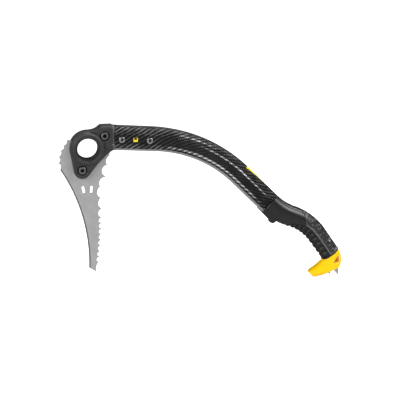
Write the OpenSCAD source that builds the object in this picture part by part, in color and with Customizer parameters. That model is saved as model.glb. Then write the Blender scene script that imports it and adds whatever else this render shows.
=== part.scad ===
// Technical ice climbing tool: a toothed steel pick bolted into a forged head,
// a bent hollow shaft with a bone section, a moulded hand grip and a horned
// pommel with a two-point spike. Millimetres. The origin is the centre of the
// clip hole in the head; +X runs towards the spike, +Z is up, Y is thickness.

/* [Head] */
// Radius of the clip hole through the head
hole_r = 17; // [15:0.5:18]
// Half the width of the straight land in the middle of the clip hole
hole_land = 5; // [4:0.5:7]
// How much the clip hole's radius grows from the land to each mouth
hole_flare = 3.5; // [2:0.5:4.5]
// Outer radius of the rim round the clip hole
rim_r = 29.5; // [29:0.5:31]
// Half the thickness of the rim at its outer edge
rim_half = 8; // [6:0.5:9]
// Radius of the crest of the raised collar round the clip hole
crest_r = 24.5; // [22.5:0.5:25]
// Half the thickness over the collar crests
crest_half = 14; // [13:0.5:15]
// Radius of the foot of the neck's faces, where they stop short of the collar
relief_r = 28.2; // [27:0.1:28.8]
// Half the thickness of the flat cheeks that hold the pick
cheek_half = 11; // [10:0.5:11.5]
// Radius of the nose round the lower pick bolt
nose_r = 13.7; // [12.5:0.1:15]
// Distance from the clip hole to the face that meets the shaft
neck_x = 40.5; // [39.5:0.5:43]
// Height of the neck's flat top above the shaft's top edge
neck_rise = 1.7; // [0:0.1:2.5]
// Radius of the concave step on top of the head
step_r = 20; // [17:0.5:23]
// Radius of the hollow curve under the neck
crotch_r = 60; // [45:5:80]

/* [Pick bolts] */
// Distance of the upper bolt from the clip hole, along X
upper_bolt_x = 27.6; // [26:0.1:28]
// Height of the upper bolt above the clip hole
upper_bolt_z = 20.9; // [20.5:0.1:22]
// Distance of the lower bolt from the clip hole, against X
lower_bolt_x = 9.8; // [8:0.1:12]
// Depth of the lower bolt below the clip hole
lower_bolt_z = 35; // [34:0.5:37]
// Thread diameter of the pick bolts
bolt_d = 8; // [7:0.5:9]
// Diameter of the bolt heads
bolt_head_d = 13; // [12.5:0.1:13.5]
// Height of the bolt heads
bolt_head_h = 5; // [4:0.5:5.5]
// Diameter of the counterbores for the bolt heads
counterbore_d = 16.4; // [15:0.2:17]
// Hex key size of the bolts
key_af = 6; // [5:0.5:6.5]
// Width of the hex nuts across their flats
nut_af = 13; // [12:0.5:13.5]
// Height of the hex nuts
nut_h = 6; // [5:0.5:6.5]

/* [Pick] */
// Thickness of the pick plate
pick_t = 4; // [3:0.5:4.5]
// Radius of the pick's window round the clip hole
window_r = 18; // [18:0.5:20]
// Outer radius of the pick where it passes round the window
eye_r = 26; // [25:0.25:26.5]
// Radius of the pick's ear round the upper bolt
ear_r = 9.5; // [8.5:0.25:9.75]
// Radius of the long concave curve of the spine
spine_r = 295; // [260:5:340]
// Height of the point of the pick, below the clip hole
tip_drop = 210.4; // [200:0.1:225]
// Distance from the tip's spine corner up to the point, measured down
tip_rise = 8; // [5:0.5:12]
// Width of the pick across the tip
tip_w = 12.4; // [10:0.2:14]
// Number of even front teeth above the tip
front_teeth = 9; // [7:1:9]
// Pitch of the even front teeth
tooth_pitch = 9.5; // [8.5:0.1:9.6]
// Height of the lowest even front tooth above the point
first_tooth = 16.7; // [14:0.1:18]
// Depth of the even gullets
tooth_depth = 3.5; // [2:0.1:3.6]
// Flat left on each tooth tip
tooth_land = 0.5; // [0.4:0.1:1.2]
// Width of the ground bevel along the spine
spine_bevel = 2.4; // [1.5:0.1:3]
// Thickness of the spine edge left between its two bevels
spine_edge = 1.8; // [1.2:0.1:2.4]
// Length of the two plain slots through the pick
slot_len = 13; // [10:0.5:15]
// Width of the slots
slot_w = 4.4; // [3:0.2:5]

/* [Shaft] */
// Distance from the clip hole to the head end of the tube
tube_x = 43; // [42.5:0.5:45]
// Height of the shaft's top edge at the head end
shaft_top_z = 36.3; // [35:0.1:38]
// Downward slope of the top edge behind the head, degrees
top_tilt = 4.8; // [3:0.1:7]
// Length of the straight top edge behind the head
top_straight = 64; // [58:1:72]
// Radius of the top edge's bend
top_bend_r = 260; // [240:5:280]
// Angle of the top edge's bend
top_bend = 40.6; // [37:0.1:44]
// Straight run from the bend to the grip
lower_straight = 67; // [60:1:75]
// Depth of the section at the head end
shaft_depth_head = 40; // [38.5:0.1:41]
// Depth of the section at the grip
shaft_depth_low = 37.6; // [36:0.1:39]
// Downward slope of the bottom edge behind the head, degrees
bottom_tilt = 4.1; // [3:0.1:5]
// Radius of the bottom edge's bend
bottom_bend_r = 200; // [184:2:214]
// Width of the section over its lobes
shaft_w = 24; // [22:0.5:25]
// Width of the section across its side channels
channel_w = 18; // [15:0.5:19]
// Height of the upper lobe
top_lobe_h = 13; // [11:0.5:14]
// Height of the lower lobe
bottom_lobe_h = 11; // [9:0.5:12]
// Wall of the tube
tube_wall = 2.5; // [1.5:0.1:3]
// How far the head's tang reaches into the tube, from the clip hole
tang_end = 112; // [108:1:120]

/* [Shaft fasteners] */
// Distance of the first shaft screw from the clip hole
screw_1_x = 55.6; // [53:0.2:58]
// Distance between the two shaft screws
screw_span = 46; // [40:1:50]
// Thread diameter of the shaft screws
screw_d = 6; // [5:0.5:6.5]
// Diameter of their heads, front and back
screw_head_d = 10.6; // [10:0.1:12]
// Height of their domed heads
screw_head_h = 2.6; // [2:0.1:3]
// Barrel diameter of the sleeve nuts
sleeve_d = 9; // [8:0.2:9.6]
// Distance of the tag's centre from the clip hole
tag_x = 78.2; // [74:0.2:84]
// Length of the tag along the shaft
tag_l = 9; // [7:0.5:11]
// Height of the tag
tag_h = 8.6; // [7:0.2:10]

/* [Grip] */
// Radius of the backward curve at the top of the grip
recurve_r = 110; // [100:5:130]
// Angle of the backward curve
recurve = 24.8; // [21:0.2:28]
// Radius of the forward curve under the palm
droop_r = 96; // [90:2:110]
// Angle of the forward curve
droop = 34.6; // [31:0.2:38]
// Straight run at the end of the grip
grip_tail = 40; // [36:1:44]
// Depth of the grip at its end
grip_depth_end = 33; // [31:0.2:34]
// Width of the grip where it starts
grip_w_start = 25.5; // [25:0.5:28]
// Width of the grip at the palm
grip_w_palm = 29; // [27:0.5:31]
// Depth of the tube inside the grip
neck_depth = 25; // [22:0.5:26]
// Width of the tube inside the grip
neck_w = 17.4; // [16:0.2:17.8]
// Number of finger ribs
ribs = 10; // [8:1:10]
// Pitch of the finger ribs
rib_pitch = 10.4; // [9.5:0.1:10.5]
// Height of the finger ribs
rib_h = 2.2; // [1.2:0.1:2.6]

/* [Pommel] */
// Reach of the horn in front of the grip's centreline
horn_reach = 49; // [43:1:55]
// Depth of the pommel below the end of the grip
heel_depth = 30.8; // [29:0.2:34]
// Thickness of the horn at its tip
horn_tip_w = 18; // [14:0.5:21]
// Length of the plug inside the tube
plug_in = 32; // [26:1:40]
// Length of the plug inside the pommel
plug_out = 6; // [4:0.5:7]
// Thickness of the spike plate
spike_t = 3; // [2.5:0.5:4]
// Diameter of the cross pins
pin_d = 4; // [3:0.5:4.5]

/* [Clearances] */
// Gap between pieces that slip together
slip = 0.1; // [0.05:0.01:0.15]
// Radial gap of a thread in its nut
thread_gap = 0.05; // [0.02:0.01:0.08]
// Radial gap of a screw in a plain hole
hole_gap = 0.2; // [0.1:0.05:0.3]
// Glue gap between tang or plug and the tube
glue = 0.15; // [0.05:0.05:0.25]

/* [Hidden] */
$fn = 48;

// A pose is [x, z, heading]; a heading in degrees, negative downwards
function ahead(p, run) = [p.x + run * cos(p[2]), p.y + run * sin(p[2]), p[2]];
function beside(p, off) = [p.x - off * sin(p[2]), p.y + off * cos(p[2]), p[2]];
// The pose after a bend of radius r; a negative radius and angle bend upwards
function turned(p, r, a) =
    let (c = beside(p, -r), h = p[2] - a)
    [c.x - r * sin(h), c.y + r * cos(h), h];
function spot(p) = [p.x, p.y];
function arc_len(r, a) = abs(r * a * PI / 180);
// Straight pieces that stand for a bend where a flat-sided bar follows it
bend_steps = 20;
// Longer than the tool, for cuts that take everything on one side away
far = 2 * tip_drop;

// Shaft edges
final_heading = -(top_tilt + top_bend);
top_start = [tube_x, shaft_top_z, -top_tilt];
top_bend_end = turned(ahead(top_start, top_straight), top_bend_r, top_bend);
bone_end_top = ahead(top_bend_end, lower_straight);
bone_end_bottom = beside(bone_end_top, -shaft_depth_low);
bottom_bend = -final_heading - bottom_tilt;
bottom_start = [tube_x, shaft_top_z - shaft_depth_head, -bottom_tilt];
// Where the bottom edge's two straight lines would meet
to_low_line = spot(bone_end_bottom) - spot(bottom_start);
meet = (to_low_line.x * sin(final_heading) - to_low_line.y * cos(final_heading))
    / sin(final_heading + bottom_tilt);
bottom_straight = meet - bottom_bend_r * tan(bottom_bend / 2);
bottom_bend_end = turned(ahead(bottom_start, bottom_straight), bottom_bend_r, bottom_bend);
bottom_tail = norm(spot(bone_end_bottom) - spot(bottom_bend_end));

// Grip centreline
grip_start = beside(bone_end_top, -shaft_depth_low / 2);
recurve_end = turned(grip_start, -recurve_r, -recurve);
droop_end = turned(recurve_end, droop_r, droop);
grip_end = ahead(droop_end, grip_tail);
recurve_len = arc_len(recurve_r, recurve);
droop_len = arc_len(droop_r, droop);
grip_len = recurve_len + droop_len + grip_tail;
function grip_pose(d) =
    d < 0 ? ahead(grip_start, d)
    : d <= recurve_len ? turned(grip_start, -recurve_r, -d / recurve_len * recurve)
    : d <= recurve_len + droop_len ? turned(recurve_end, droop_r, (d - recurve_len) / droop_len * droop)
    : ahead(droop_end, d - recurve_len - droop_len);
function grip_point(d, v) = spot(beside(grip_pose(d), v));
// Half the grip's depth and half its width at a distance d along it
function grip_half_depth(d) =
    (shaft_depth_low + (grip_depth_end - shaft_depth_low) * max(0, d) / grip_len) / 2;
function grip_half_width(d) =
    (grip_w_start + (grip_w_palm - grip_w_start) * sin(90 * min(1, max(0, d) / recurve_len))) / 2;
// The finger ribs start where the palm curve starts
rib_from = grip_len - ribs * rib_pitch - 1;
function rib_rise(d) =
    d < rib_from ? 0
    : let (wave = sin(180 * (d - rib_from) / rib_pitch))
      rib_h * (1 - pow(1 - abs(wave), 2)) - rib_h;

// Pick and head
upper_bolt = [upper_bolt_x, upper_bolt_z];
lower_bolt = [-lower_bolt_x, -lower_bolt_z];
slot_half = pick_t / 2 + slip;
neck_top = shaft_top_z + (tube_x - neck_x) * tan(top_tilt) + neck_rise;
neck_bottom = shaft_top_z - shaft_depth_head + (tube_x - neck_x) * tan(bottom_tilt);
counterbore_floor = cheek_half - bolt_head_h - 1;
bolt_hole_r = bolt_d / 2 + hole_gap;
pick_right = upper_bolt_x + ear_r;
point = [tip_w - 0.2, -tip_drop];
spine_corner = [point.x - tip_w, -tip_drop + tip_rise];
// The spine is nearly upright where it meets the tip, and stops leaning this far above it
spine_lift = 12;
spine_centre = [spine_corner.x - spine_r, spine_corner.y + spine_lift];

// A 2D obround: two circles of radius r at +-half on the y axis
module obround(r, half) {
    translate([0, half]) circle(r);
    translate([0, -half]) circle(r);
    square([2 * r, 2 * half], center = true);
}

// The outline round equal circles at convex points, given anticlockwise
module round_outline(points, r) {
    n = len(points);
    for (p = points) translate(p) circle(r);
    polygon([for (i = [0 : n - 1])
        let (a = points[i], b = points[(i + 1) % n], u = (b - a) / norm(b - a))
        each [a + r * [u.y, -u.x], b + r * [u.y, -u.x]]]);
}

// The outline round two circles of different radii
module round_link(a, ra, b, rb) {
    u = (b - a) / norm(b - a);
    swing = acos((ra - rb) / norm(b - a));
    base = atan2(u.y, u.x);
    left = [cos(base + swing), sin(base + swing)];
    right = [cos(base - swing), sin(base - swing)];
    translate(a) circle(ra);
    translate(b) circle(rb);
    polygon([a + ra * left, a + ra * right, b + rb * right, b + rb * left]);
}

// Stands a 2D outline of the XZ plane up as a plate of the given thickness
module plate(t) {
    rotate([90, 0, 0]) linear_extrude(t, center = true) children();
}

// A bar along Y from y0 to y1 at a place in the XZ plane
module cross_bar(place, r, y0, y1) {
    translate([place.x, y1, place.y]) rotate([90, 0, 0]) cylinder(r = r, h = y1 - y0);
}

// Sweeps a profile, drawn with x outwards and y across, along a straight run
module straight_run(p, run) {
    translate([p.x, 0, p.y]) rotate([0, 90 - p[2], 0]) linear_extrude(run) mirror([1, 0, 0]) children();
}

// Points along the shaft's top edge and, backwards, along its bottom edge
function top_line(off, back, short) = [
    spot(beside(ahead(top_start, -back), off)),
    for (i = [0 : bend_steps])
        spot(turned(ahead(beside(top_start, off), top_straight), top_bend_r + off,
            top_bend * i / bend_steps)),
    spot(beside(ahead(bone_end_top, -short), off))
];
function bottom_line(off, back, short) = [
    spot(beside(ahead(bone_end_bottom, -short), off)),
    for (i = [bend_steps : -1 : 0])
        spot(turned(ahead(beside(bottom_start, off), bottom_straight), bottom_bend_r + off,
            bottom_bend * i / bend_steps)),
    spot(beside(ahead(bottom_start, -back), off))
];

// A flat-sided bar along the shaft, between lines set in from its two edges
module strip(width, from_top, from_bottom, back = 0, short = 0) {
    plate(width) polygon(concat(top_line(-from_top, back, short), bottom_line(from_bottom, back, short)));
}

// Skins a list of rings of points; each ring mirrors itself about its middle
module loft(rings) {
    n = len(rings);
    sides = len(rings[0]);
    last = (n - 1) * sides;
    half = sides / 2;
    polyhedron(
        points = [for (ring = rings) each ring],
        faces = concat(
            [for (k = [0 : half - 2]) each [[k, sides - 2 - k, k + 1], [k, sides - 1 - k, sides - 2 - k]]],
            [for (i = [0 : n - 2]) for (k = [0 : sides - 1])
                let (a = i * sides + k, b = i * sides + (k + 1) % sides)
                each [[a, b, a + sides], [b, b + sides, a + sides]]],
            [for (k = [0 : half - 2]) each [
                [last + k, last + k + 1, last + sides - 2 - k],
                [last + k, last + sides - 2 - k, last + sides - 1 - k]]]
        ));
}

// One side of a lobe's round, from its crest to where it runs into the web
lobe_steps = 7;
function lobe_round(r, grow) =
    let (in_y = shaft_w / 2 - r, stop = 180 - asin((channel_w / 2 + grow - in_y) / (r + grow)))
    [for (k = [0 : lobe_steps])
        let (t = stop * k / lobe_steps)
        [r - (r + grow) * cos(t), in_y + (r + grow) * sin(t)]];

// The bone-shaped ring between a point on the top edge and one on the bottom edge
function bone_ring(top, bottom, grow) =
    let (down = (bottom - top) / norm(bottom - top),
        upper = [for (q = lobe_round(top_lobe_h / 2, grow)) let (w = top + down * q.x) [w.x, q.y, w.y]],
        lower = [for (q = lobe_round(bottom_lobe_h / 2, grow)) let (w = bottom - down * q.x) [w.x, q.y, w.y]],
        side = concat(upper, [for (k = [lobe_steps : -1 : 0]) lower[k]]))
    concat(side, [for (k = [len(side) - 1 : -1 : 0]) [side[k].x, -side[k].y, side[k].z]]);

// The bone section along the whole shaft; grow swells it, back starts it early
module bone(grow, back = 0) {
    low = bottom_line(0, back, 0);
    high = top_line(0, back, 0);
    n = len(high);
    loft([for (i = [0 : n - 1]) bone_ring(high[i], low[n - 1 - i], grow)]);
}

// The hollow of the tube and, made smaller by a gap, the tang that fills it
module shaft_hollow(gap, back, short) {
    inset = tube_wall + gap;
    strip(channel_w - 2 * inset, inset, inset, back, short);
}

// The flat-sided neck of the tube that carries the grip, from one distance to another
module grip_core(inset, from, to) {
    v = neck_depth / 2 - inset;
    n = 2 * bend_steps;
    plate(neck_w - 2 * inset) polygon(concat(
        [for (i = [0 : n]) grip_point(from + (to - from) * i / n, v)],
        [for (i = [n : -1 : 0]) grip_point(from + (to - from) * i / n, -v)]));
}

// Everything on the head side of a plane across X, and everything past it
module head_side(x) {
    translate([x - far, -far / 2, -far / 2]) cube(far);
}
module grip_side(x) {
    translate([x, -far / 2, -far / 2]) cube(far);
}

// Head
module head_rim() {
    rotate([90, 0, 0]) rotate_extrude($fn = 96) polygon([
        [0, -crest_half], [crest_r, -crest_half], [rim_r - 1, -rim_half - 1.5], [rim_r, -rim_half],
        [rim_r, rim_half], [rim_r - 1, rim_half + 1.5], [crest_r, crest_half], [0, crest_half]
    ]);
}

module head_hole() {
    mouth = hole_r + hole_flare;
    rotate([90, 0, 0]) rotate_extrude($fn = 96) polygon([
        [0, -crest_half - 1], [mouth, -crest_half - 1], [mouth, -crest_half], [hole_r, -hole_land],
        [hole_r, hole_land], [mouth, crest_half], [mouth, crest_half + 1], [0, crest_half + 1]
    ]);
}

// The space that leaves the collar standing free of the neck's faces, as a
// groove with a sloping outer wall
relief_rise = 2.2;
module collar_relief() {
    floor_y = rim_half + 0.4;
    top_y = shaft_w / 2 + 1;
    for (side = [0, 1]) mirror([0, side, 0]) rotate([90, 0, 0])
        rotate_extrude($fn = 96) polygon([
            [0, floor_y], [relief_r, floor_y], [relief_r + relief_rise, top_y], [0, top_y]
        ]);
}

// The rounded bar that meets the shaft, as deep and wide as the shaft there
module neck_block() {
    top_r = top_lobe_h / 2;
    bottom_r = bottom_lobe_h / 2;
    half = shaft_w / 2;
    translate([3, 0, 0]) rotate([90, 0, 90]) linear_extrude(neck_x - 3) {
        translate([0, neck_top - top_r]) obround_across(top_r, half - top_r);
        translate([0, neck_bottom + bottom_r]) obround_across(bottom_r, half - bottom_r);
        translate([-half, neck_bottom + bottom_r])
            square([shaft_w, neck_top - neck_bottom - top_r - bottom_r]);
    }
}

// The web that fills the crotch between the rim and the neck. Its hollow curve
// touches the rim and runs out just past the lower corner of the neck's face.
neck_corner = [neck_x + 0.8, neck_bottom];
crotch_reach = rim_r + crotch_r;
crotch_turn = acos((crotch_reach * crotch_reach + neck_corner * neck_corner - crotch_r * crotch_r)
    / (2 * crotch_reach * norm(neck_corner)));
crotch_angle = atan2(neck_corner.y, neck_corner.x) - crotch_turn;
crotch = crotch_reach * [cos(crotch_angle), sin(crotch_angle)];
module crotch_web() {
    touch = crotch * rim_r / crotch_reach;
    plate(2 * cheek_half - 3) difference() {
        polygon([[0, 0], touch * 0.99, crotch, [crotch.x, neck_bottom + 2]]);
        translate(crotch) circle(crotch_r + 0.1, $fn = 180);
        translate([neck_x, -far / 2]) square(far);
    }
}

// The step's circle crosses the rim's at a flat angle, so the neck grows out of it
step_centre = [4.8, rim_r + step_r - 0.35];

// A 2D obround lying along x
module obround_across(r, half) {
    rotate(90) obround(r, half);
}

// The space between the cheeks that takes the pick
module pick_slot() {
    right = pick_right + slip;
    plate(2 * slot_half) {
        circle(eye_r + slip, $fn = 96);
        translate(upper_bolt) circle(ear_r + slip);
        translate([-80, -80]) square([80 + right, 80]);
        translate([-80, -1]) square([80, rear_top + slip + 1]);
        translate([0, -1]) square([right, upper_bolt_z + 1]);
    }
}

module bolt_seat(place) {
    cross_bar(place, bolt_hole_r, -cheek_half - 5, cheek_half + 5);
    cross_bar(place, counterbore_d / 2, -crest_half - 1, -counterbore_floor);
    translate([place.x, 0, place.y]) rotate([-90, 0, 0])
        translate([0, 0, cheek_half - nut_h]) cylinder(d = hex_across(nut_af + 2 * slip), h = 20, $fn = 6);
}

// Corner-to-corner size of a hexagon of a given width across flats
function hex_across(af) = af / cos(30);

module shaft_screw_holes() {
    for (i = [0, 1]) {
        cross_bar(screw_place(i), screw_d / 2 + hole_gap, -20, 1);
        cross_bar(screw_place(i), sleeve_d / 2 + hole_gap, 0, 20);
    }
}

// The shaft screws sit midway between the shaft's straight edges
function shaft_mid(x) =
    shaft_top_z - shaft_depth_head / 2 - (x - tube_x) * tan((top_tilt + bottom_tilt) / 2);
function screw_place(i) =
    let (x = screw_1_x + i * screw_span)
    [x, shaft_mid(x) - 2];

module head() color("#47494b") difference() {
    union() {
        head_rim();
        plate(2 * cheek_half) round_link([0, 0], rim_r - 2.5, lower_bolt, nose_r);
        plate(2 * rim_half) round_link([0, 0], rim_r - 0.2, lower_bolt, nose_r - 0.2);
        difference() {
            neck_block();
            cross_bar(step_centre, step_r, -crest_half, crest_half);
            collar_relief();
        }
        crotch_web();
        difference() {
            shaft_hollow(glue, 8, 0);
            head_side(neck_x - 1);
            grip_side(tang_end);
        }
    }
    head_hole();
    pick_slot();
    bolt_seat(upper_bolt);
    bolt_seat(lower_bolt);
    shaft_screw_holes();
}

// Pick
rear_top = 14.6;
// Tips of the rear teeth, from the head down, and the corner under them
rear_tips = [[-33, 14], [-38, 5.3], [-42.9, -2.8], [-46.2, -13.3], [-46.6, -23.4], [-44.7, -34.4]];
// Tips of the large front teeth, from the head down to the even row
large_tips = [[35.4, -13.8], [31.7, -28.7], [29.2, -48.9], [19.6, -64.5], [20, -84.5], [21.2, -102.4]];
// Gullet depths between the large teeth and down to the even row
large_depths = [3.2, 7.2, 5.2, 4.8, 4.2, 4.4];
rear_depth = 2.2;
tip_gullet = 2.4;
// Place and lean of the two plain slots
slots = [[-7.6, -69.5, 12], [5.4, -69.5, -4]];
// The even row bulges forwards in a shallow curve, which stands out furthest
// row_out in front of the point and row_peak above it
row_out = 8.3;
row_peak = 80;
row_bulge = 720;
function even_tip(i) =
    let (rise = first_tooth + i * tooth_pitch)
    [point.x + row_out - pow(rise - row_peak, 2) / row_bulge, rise - tip_drop];
front_tips = concat(large_tips, [for (i = [front_teeth - 1 : -1 : 0]) even_tip(i)]);

// Cuts the gullet between two tooth tips as a circle of the given depth
module gullet(a, b, depth) {
    span = b - a;
    chord = norm(span) - tooth_land;
    r = (chord * chord / 4 + depth * depth) / (2 * depth);
    out = [-span.y, span.x] / norm(span);
    translate((a + b) / 2 + out * (r - depth)) circle(r);
}

module pick_body() {
    polygon(concat(
        [[0, rear_top]], rear_tips, [spine_corner, point],
        [for (i = [len(front_tips) - 1 : -1 : 0]) front_tips[i]],
        [[pick_right, -6], [pick_right, upper_bolt_z], [0, upper_bolt_z]]
    ));
    circle(eye_r, $fn = 96);
    translate(upper_bolt) circle(ear_r);
}

module pick_outline() difference() {
    pick_body();
    translate(spine_centre) circle(spine_r, $fn = 360);
    for (i = [0 : len(rear_tips) - 2]) gullet(rear_tips[i + 1], rear_tips[i], rear_depth);
    for (i = [0 : len(front_tips) - 2])
        gullet(front_tips[i], front_tips[i + 1], i < len(large_depths) ? large_depths[i] : tooth_depth);
    gullet(even_tip(0), point, tip_gullet);
    circle(window_r, $fn = 96);
    translate(upper_bolt) circle(bolt_hole_r);
    translate(lower_bolt) circle(bolt_hole_r);
    for (s = slots) translate([s[0], s[1]]) rotate(s[2]) obround(slot_w / 2, (slot_len - slot_w) / 2);
}

// The wedge that grinds one side of the spine
module spine_grind() {
    lift = (pick_t - spine_edge) / 2;
    translate([spine_centre.x, 0, spine_centre.y]) rotate([90, 0, 0])
        rotate([0, 0, -10]) rotate_extrude(angle = 45, $fn = 360) polygon([
            [spine_r - 1, pick_t / 2 - lift - lift / spine_bevel], [spine_r + spine_bevel, pick_t / 2],
            [spine_r + spine_bevel, pick_t / 2 + 1], [spine_r - 1, pick_t / 2 + 1]
        ]);
}

module pick() color("#b9b9b9") difference() {
    plate(pick_t) pick_outline();
    spine_grind();
    mirror([0, 1, 0]) spine_grind();
}

module pick_bolt(place) {
    r = bolt_head_d / 2;
    edge = 0.8;
    socket_depth = 3.6;
    shank = counterbore_floor + cheek_half - 1;
    translate([place.x, -counterbore_floor, place.y]) rotate([90, 0, 0]) difference() {
        union() {
            rotate_extrude() polygon([
                [0, 0], [r, 0], [r, bolt_head_h - edge], [r - edge, bolt_head_h], [0, bolt_head_h]
            ]);
            translate([0, 0, -shank]) cylinder(d = bolt_d, h = shank);
        }
        translate([0, 0, bolt_head_h - socket_depth]) cylinder(d = hex_across(key_af), h = 10, $fn = 6);
    }
}

module pick_nut(place) {
    translate([place.x, cheek_half - nut_h, place.y]) rotate([-90, 0, 0]) difference() {
        cylinder(d = hex_across(nut_af), h = nut_h, $fn = 6);
        translate([0, 0, -1]) cylinder(r = bolt_d / 2 + thread_gap, h = nut_h + 2);
    }
}

module pick_bolt_upper() color("#b4b6b8") pick_bolt(upper_bolt);

module pick_bolt_lower() color("#b4b6b8") pick_bolt(lower_bolt);

module pick_nut_upper() color("#8d9093") pick_nut(upper_bolt);

module pick_nut_lower() color("#8d9093") pick_nut(lower_bolt);

// Shaft
module shaft_collar() color("#d4d6d8") difference() {
    bone(0.4, 8);
    shaft_hollow(glue - slip, 9, 0);
    head_side(neck_x);
    grip_side(tube_x);
}

module tag_place() {
    translate([tag_x, 0, shaft_mid(tag_x) - 1.2]) rotate([0, (top_tilt + bottom_tilt) / 2, 0]) children();
}

module shaft_tube() color("#2a2b2d") difference() {
    union() {
        bone(0, 8);
        grip_core(0, -1, grip_len);
    }
    shaft_hollow(0, 9, tube_wall);
    grip_core(tube_wall, tube_wall, grip_len + 1);
    head_side(tube_x);
    shaft_screw_holes();
    tag_place() translate([-tag_l / 2 - slip, -channel_w, -tag_h / 2 - slip])
        cube([tag_l + 2 * slip, channel_w / 2 + 0.8, tag_h + 2 * slip]);
}

module id_tag() color("#f4c811") tag_place() translate([-tag_l / 2, -channel_w / 2 - 0.3, -tag_h / 2])
    cube([tag_l, 1.1, tag_h]);

module domed_head(socket) {
    r = screw_head_d / 2;
    dome_r = (r * r + screw_head_h * screw_head_h) / (2 * screw_head_h) * 1.35;
    difference() {
        intersection() {
            cylinder(r = r, h = screw_head_h);
            translate([0, 0, screw_head_h - dome_r]) sphere(dome_r, $fn = 64);
        }
        translate([0, 0, screw_head_h - 1.8]) cylinder(d = hex_across(socket), h = 5, $fn = 6);
    }
}

module shaft_screw(place) {
    translate([place.x, -channel_w / 2, place.y]) rotate([90, 0, 0]) {
        domed_head(4);
        translate([0, 0, -channel_w / 2 - 5]) cylinder(d = screw_d, h = channel_w / 2 + 5);
    }
}

module sleeve_nut(place) {
    translate([place.x, channel_w / 2, place.y]) rotate([-90, 0, 0]) difference() {
        union() {
            domed_head(4);
            translate([0, 0, -channel_w / 2 + 1.2]) cylinder(d = sleeve_d, h = channel_w / 2 - 1.2);
        }
        translate([0, 0, -channel_w]) cylinder(r = screw_d / 2 + thread_gap, h = channel_w - 1.2);
    }
}

module shaft_screw_front() color("#c9cbcc") shaft_screw(screw_place(0));

module shaft_screw_rear() color("#c9cbcc") shaft_screw(screw_place(1));

module sleeve_nut_front() color("#c9cbcc") sleeve_nut(screw_place(0));

module sleeve_nut_rear() color("#c9cbcc") sleeve_nut(screw_place(1));

// Grip
// Angles of the points round a ring; the ribbed one is fine only underneath
plain_angles = [for (k = [0 : 27]) 360 * (k + 0.5) / 28];
rib_angles = [20, 55, for (k = [0 : 13]) 84 + k * 192 / 13, 305, 340];
// One oval ring of the grip at a distance d; swell grows it, ribbed adds ribs
function grip_ring(d, swell, ribbed) =
    let (pose = grip_pose(d), a = grip_half_depth(d) + swell, b = grip_half_width(d) + swell)
    [for (t = ribbed ? rib_angles : plain_angles)
        let (c = cos(t), s = sin(t),
            rise = ribbed && c < 0 ? rib_rise(d) * min(1, -2.2 * c) : 0,
            v = (a + rise) * sign(c) * pow(abs(c), 0.86),
            y = b * sign(s) * pow(abs(s), 0.86),
            q = beside(pose, v))
        [q.x, y, q.y]];

module grip_solid(from, to, steps, swell = 0, ribbed = false) {
    loft([for (i = [0 : steps]) grip_ring(from + (to - from) * i / steps, swell, ribbed)]);
}

ring_t = 2;
// Where the back panel starts on top, and where the finger rest starts and ends
panel_top = 53;
rest_start = -7;
rest_end = 26;
// Upper edge of the finger rest, as an offset from the grip's centreline
rest_top = -10.4;
// The finger rest hangs down a little more towards the fingers
rest_taper = 1.8;
rest_back = 20;
rest_bottom = shaft_depth_low / 2 + 0.6;
// The nub in front of the first finger
nub = [21.5, -18.9];
nub_r = 4.2;
nub_w = 17;
// The boundary between the finger pad and the rest, as [distance, offset]
pad_edge = [[34, -24], [41, -14], [50, -9.5], [62, -6], [75, -2.4], [90, -2.2], [grip_len + 3, -2.2]];
// The corner where sleeve, back panel and finger pad meet
seam = 4;
// An offset that is well outside the grip, and a line along it there
outside = 0.7 * shaft_depth_low;
function outer_line(from, to, side) =
    [for (i = [0 : 6]) grip_point(from + (to - from) * i / 6, side * outside)];

module finger_pad() color("#2f3134") difference() {
    intersection() {
        grip_solid(pad_edge[0].x - 4, grip_len - ring_t, 80, 0, true);
        plate(far) polygon(concat(
            [for (e = pad_edge) grip_point(e.x, e.y)],
            outer_line(grip_len + 3, pad_edge[0].x, -1)
        ));
    }
    grip_core(0, -9, grip_len + 5);
}

module grip_back_panel() color("#3a3d41") difference() {
    intersection() {
        grip_solid(panel_top - 13, grip_len - ring_t, 24);
        plate(far) polygon(concat(
            [for (i = [seam : len(pad_edge) - 1]) grip_point(pad_edge[i].x, pad_edge[i].y)],
            outer_line(grip_len + 3, panel_top, 1)
        ));
    }
    grip_core(0, -9, grip_len + 5);
}

module grip_sleeve() color("#383b3f") difference() {
    intersection() {
        grip_solid(0, pad_edge[seam].x + 10, 24);
        plate(far) polygon(concat(
            [for (d = [-5, 0, rest_end / 2, rest_end]) grip_point(d, rest_top)],
            [grip_point(rest_end, -outside)],
            [for (i = [0 : seam]) grip_point(pad_edge[i].x, pad_edge[i].y)],
            outer_line(panel_top, -5, 1)
        ));
    }
    grip_core(0, -9, grip_len + 5);
}

module grip_end_ring() color("#202224") difference() {
    r = 11;
    deep = grip_depth_end / 2 + 0.4 - r;
    wide = grip_w_palm / 2 + 0.4 - r;
    straight_run(ahead(grip_end, -ring_t), ring_t)
        round_outline([[-deep, -wide], [deep, -wide], [deep, wide], [-deep, wide]], r);
    straight_run(ahead(grip_end, -ring_t - 1), ring_t + 2) square([neck_depth, neck_w], center = true);
}

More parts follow.
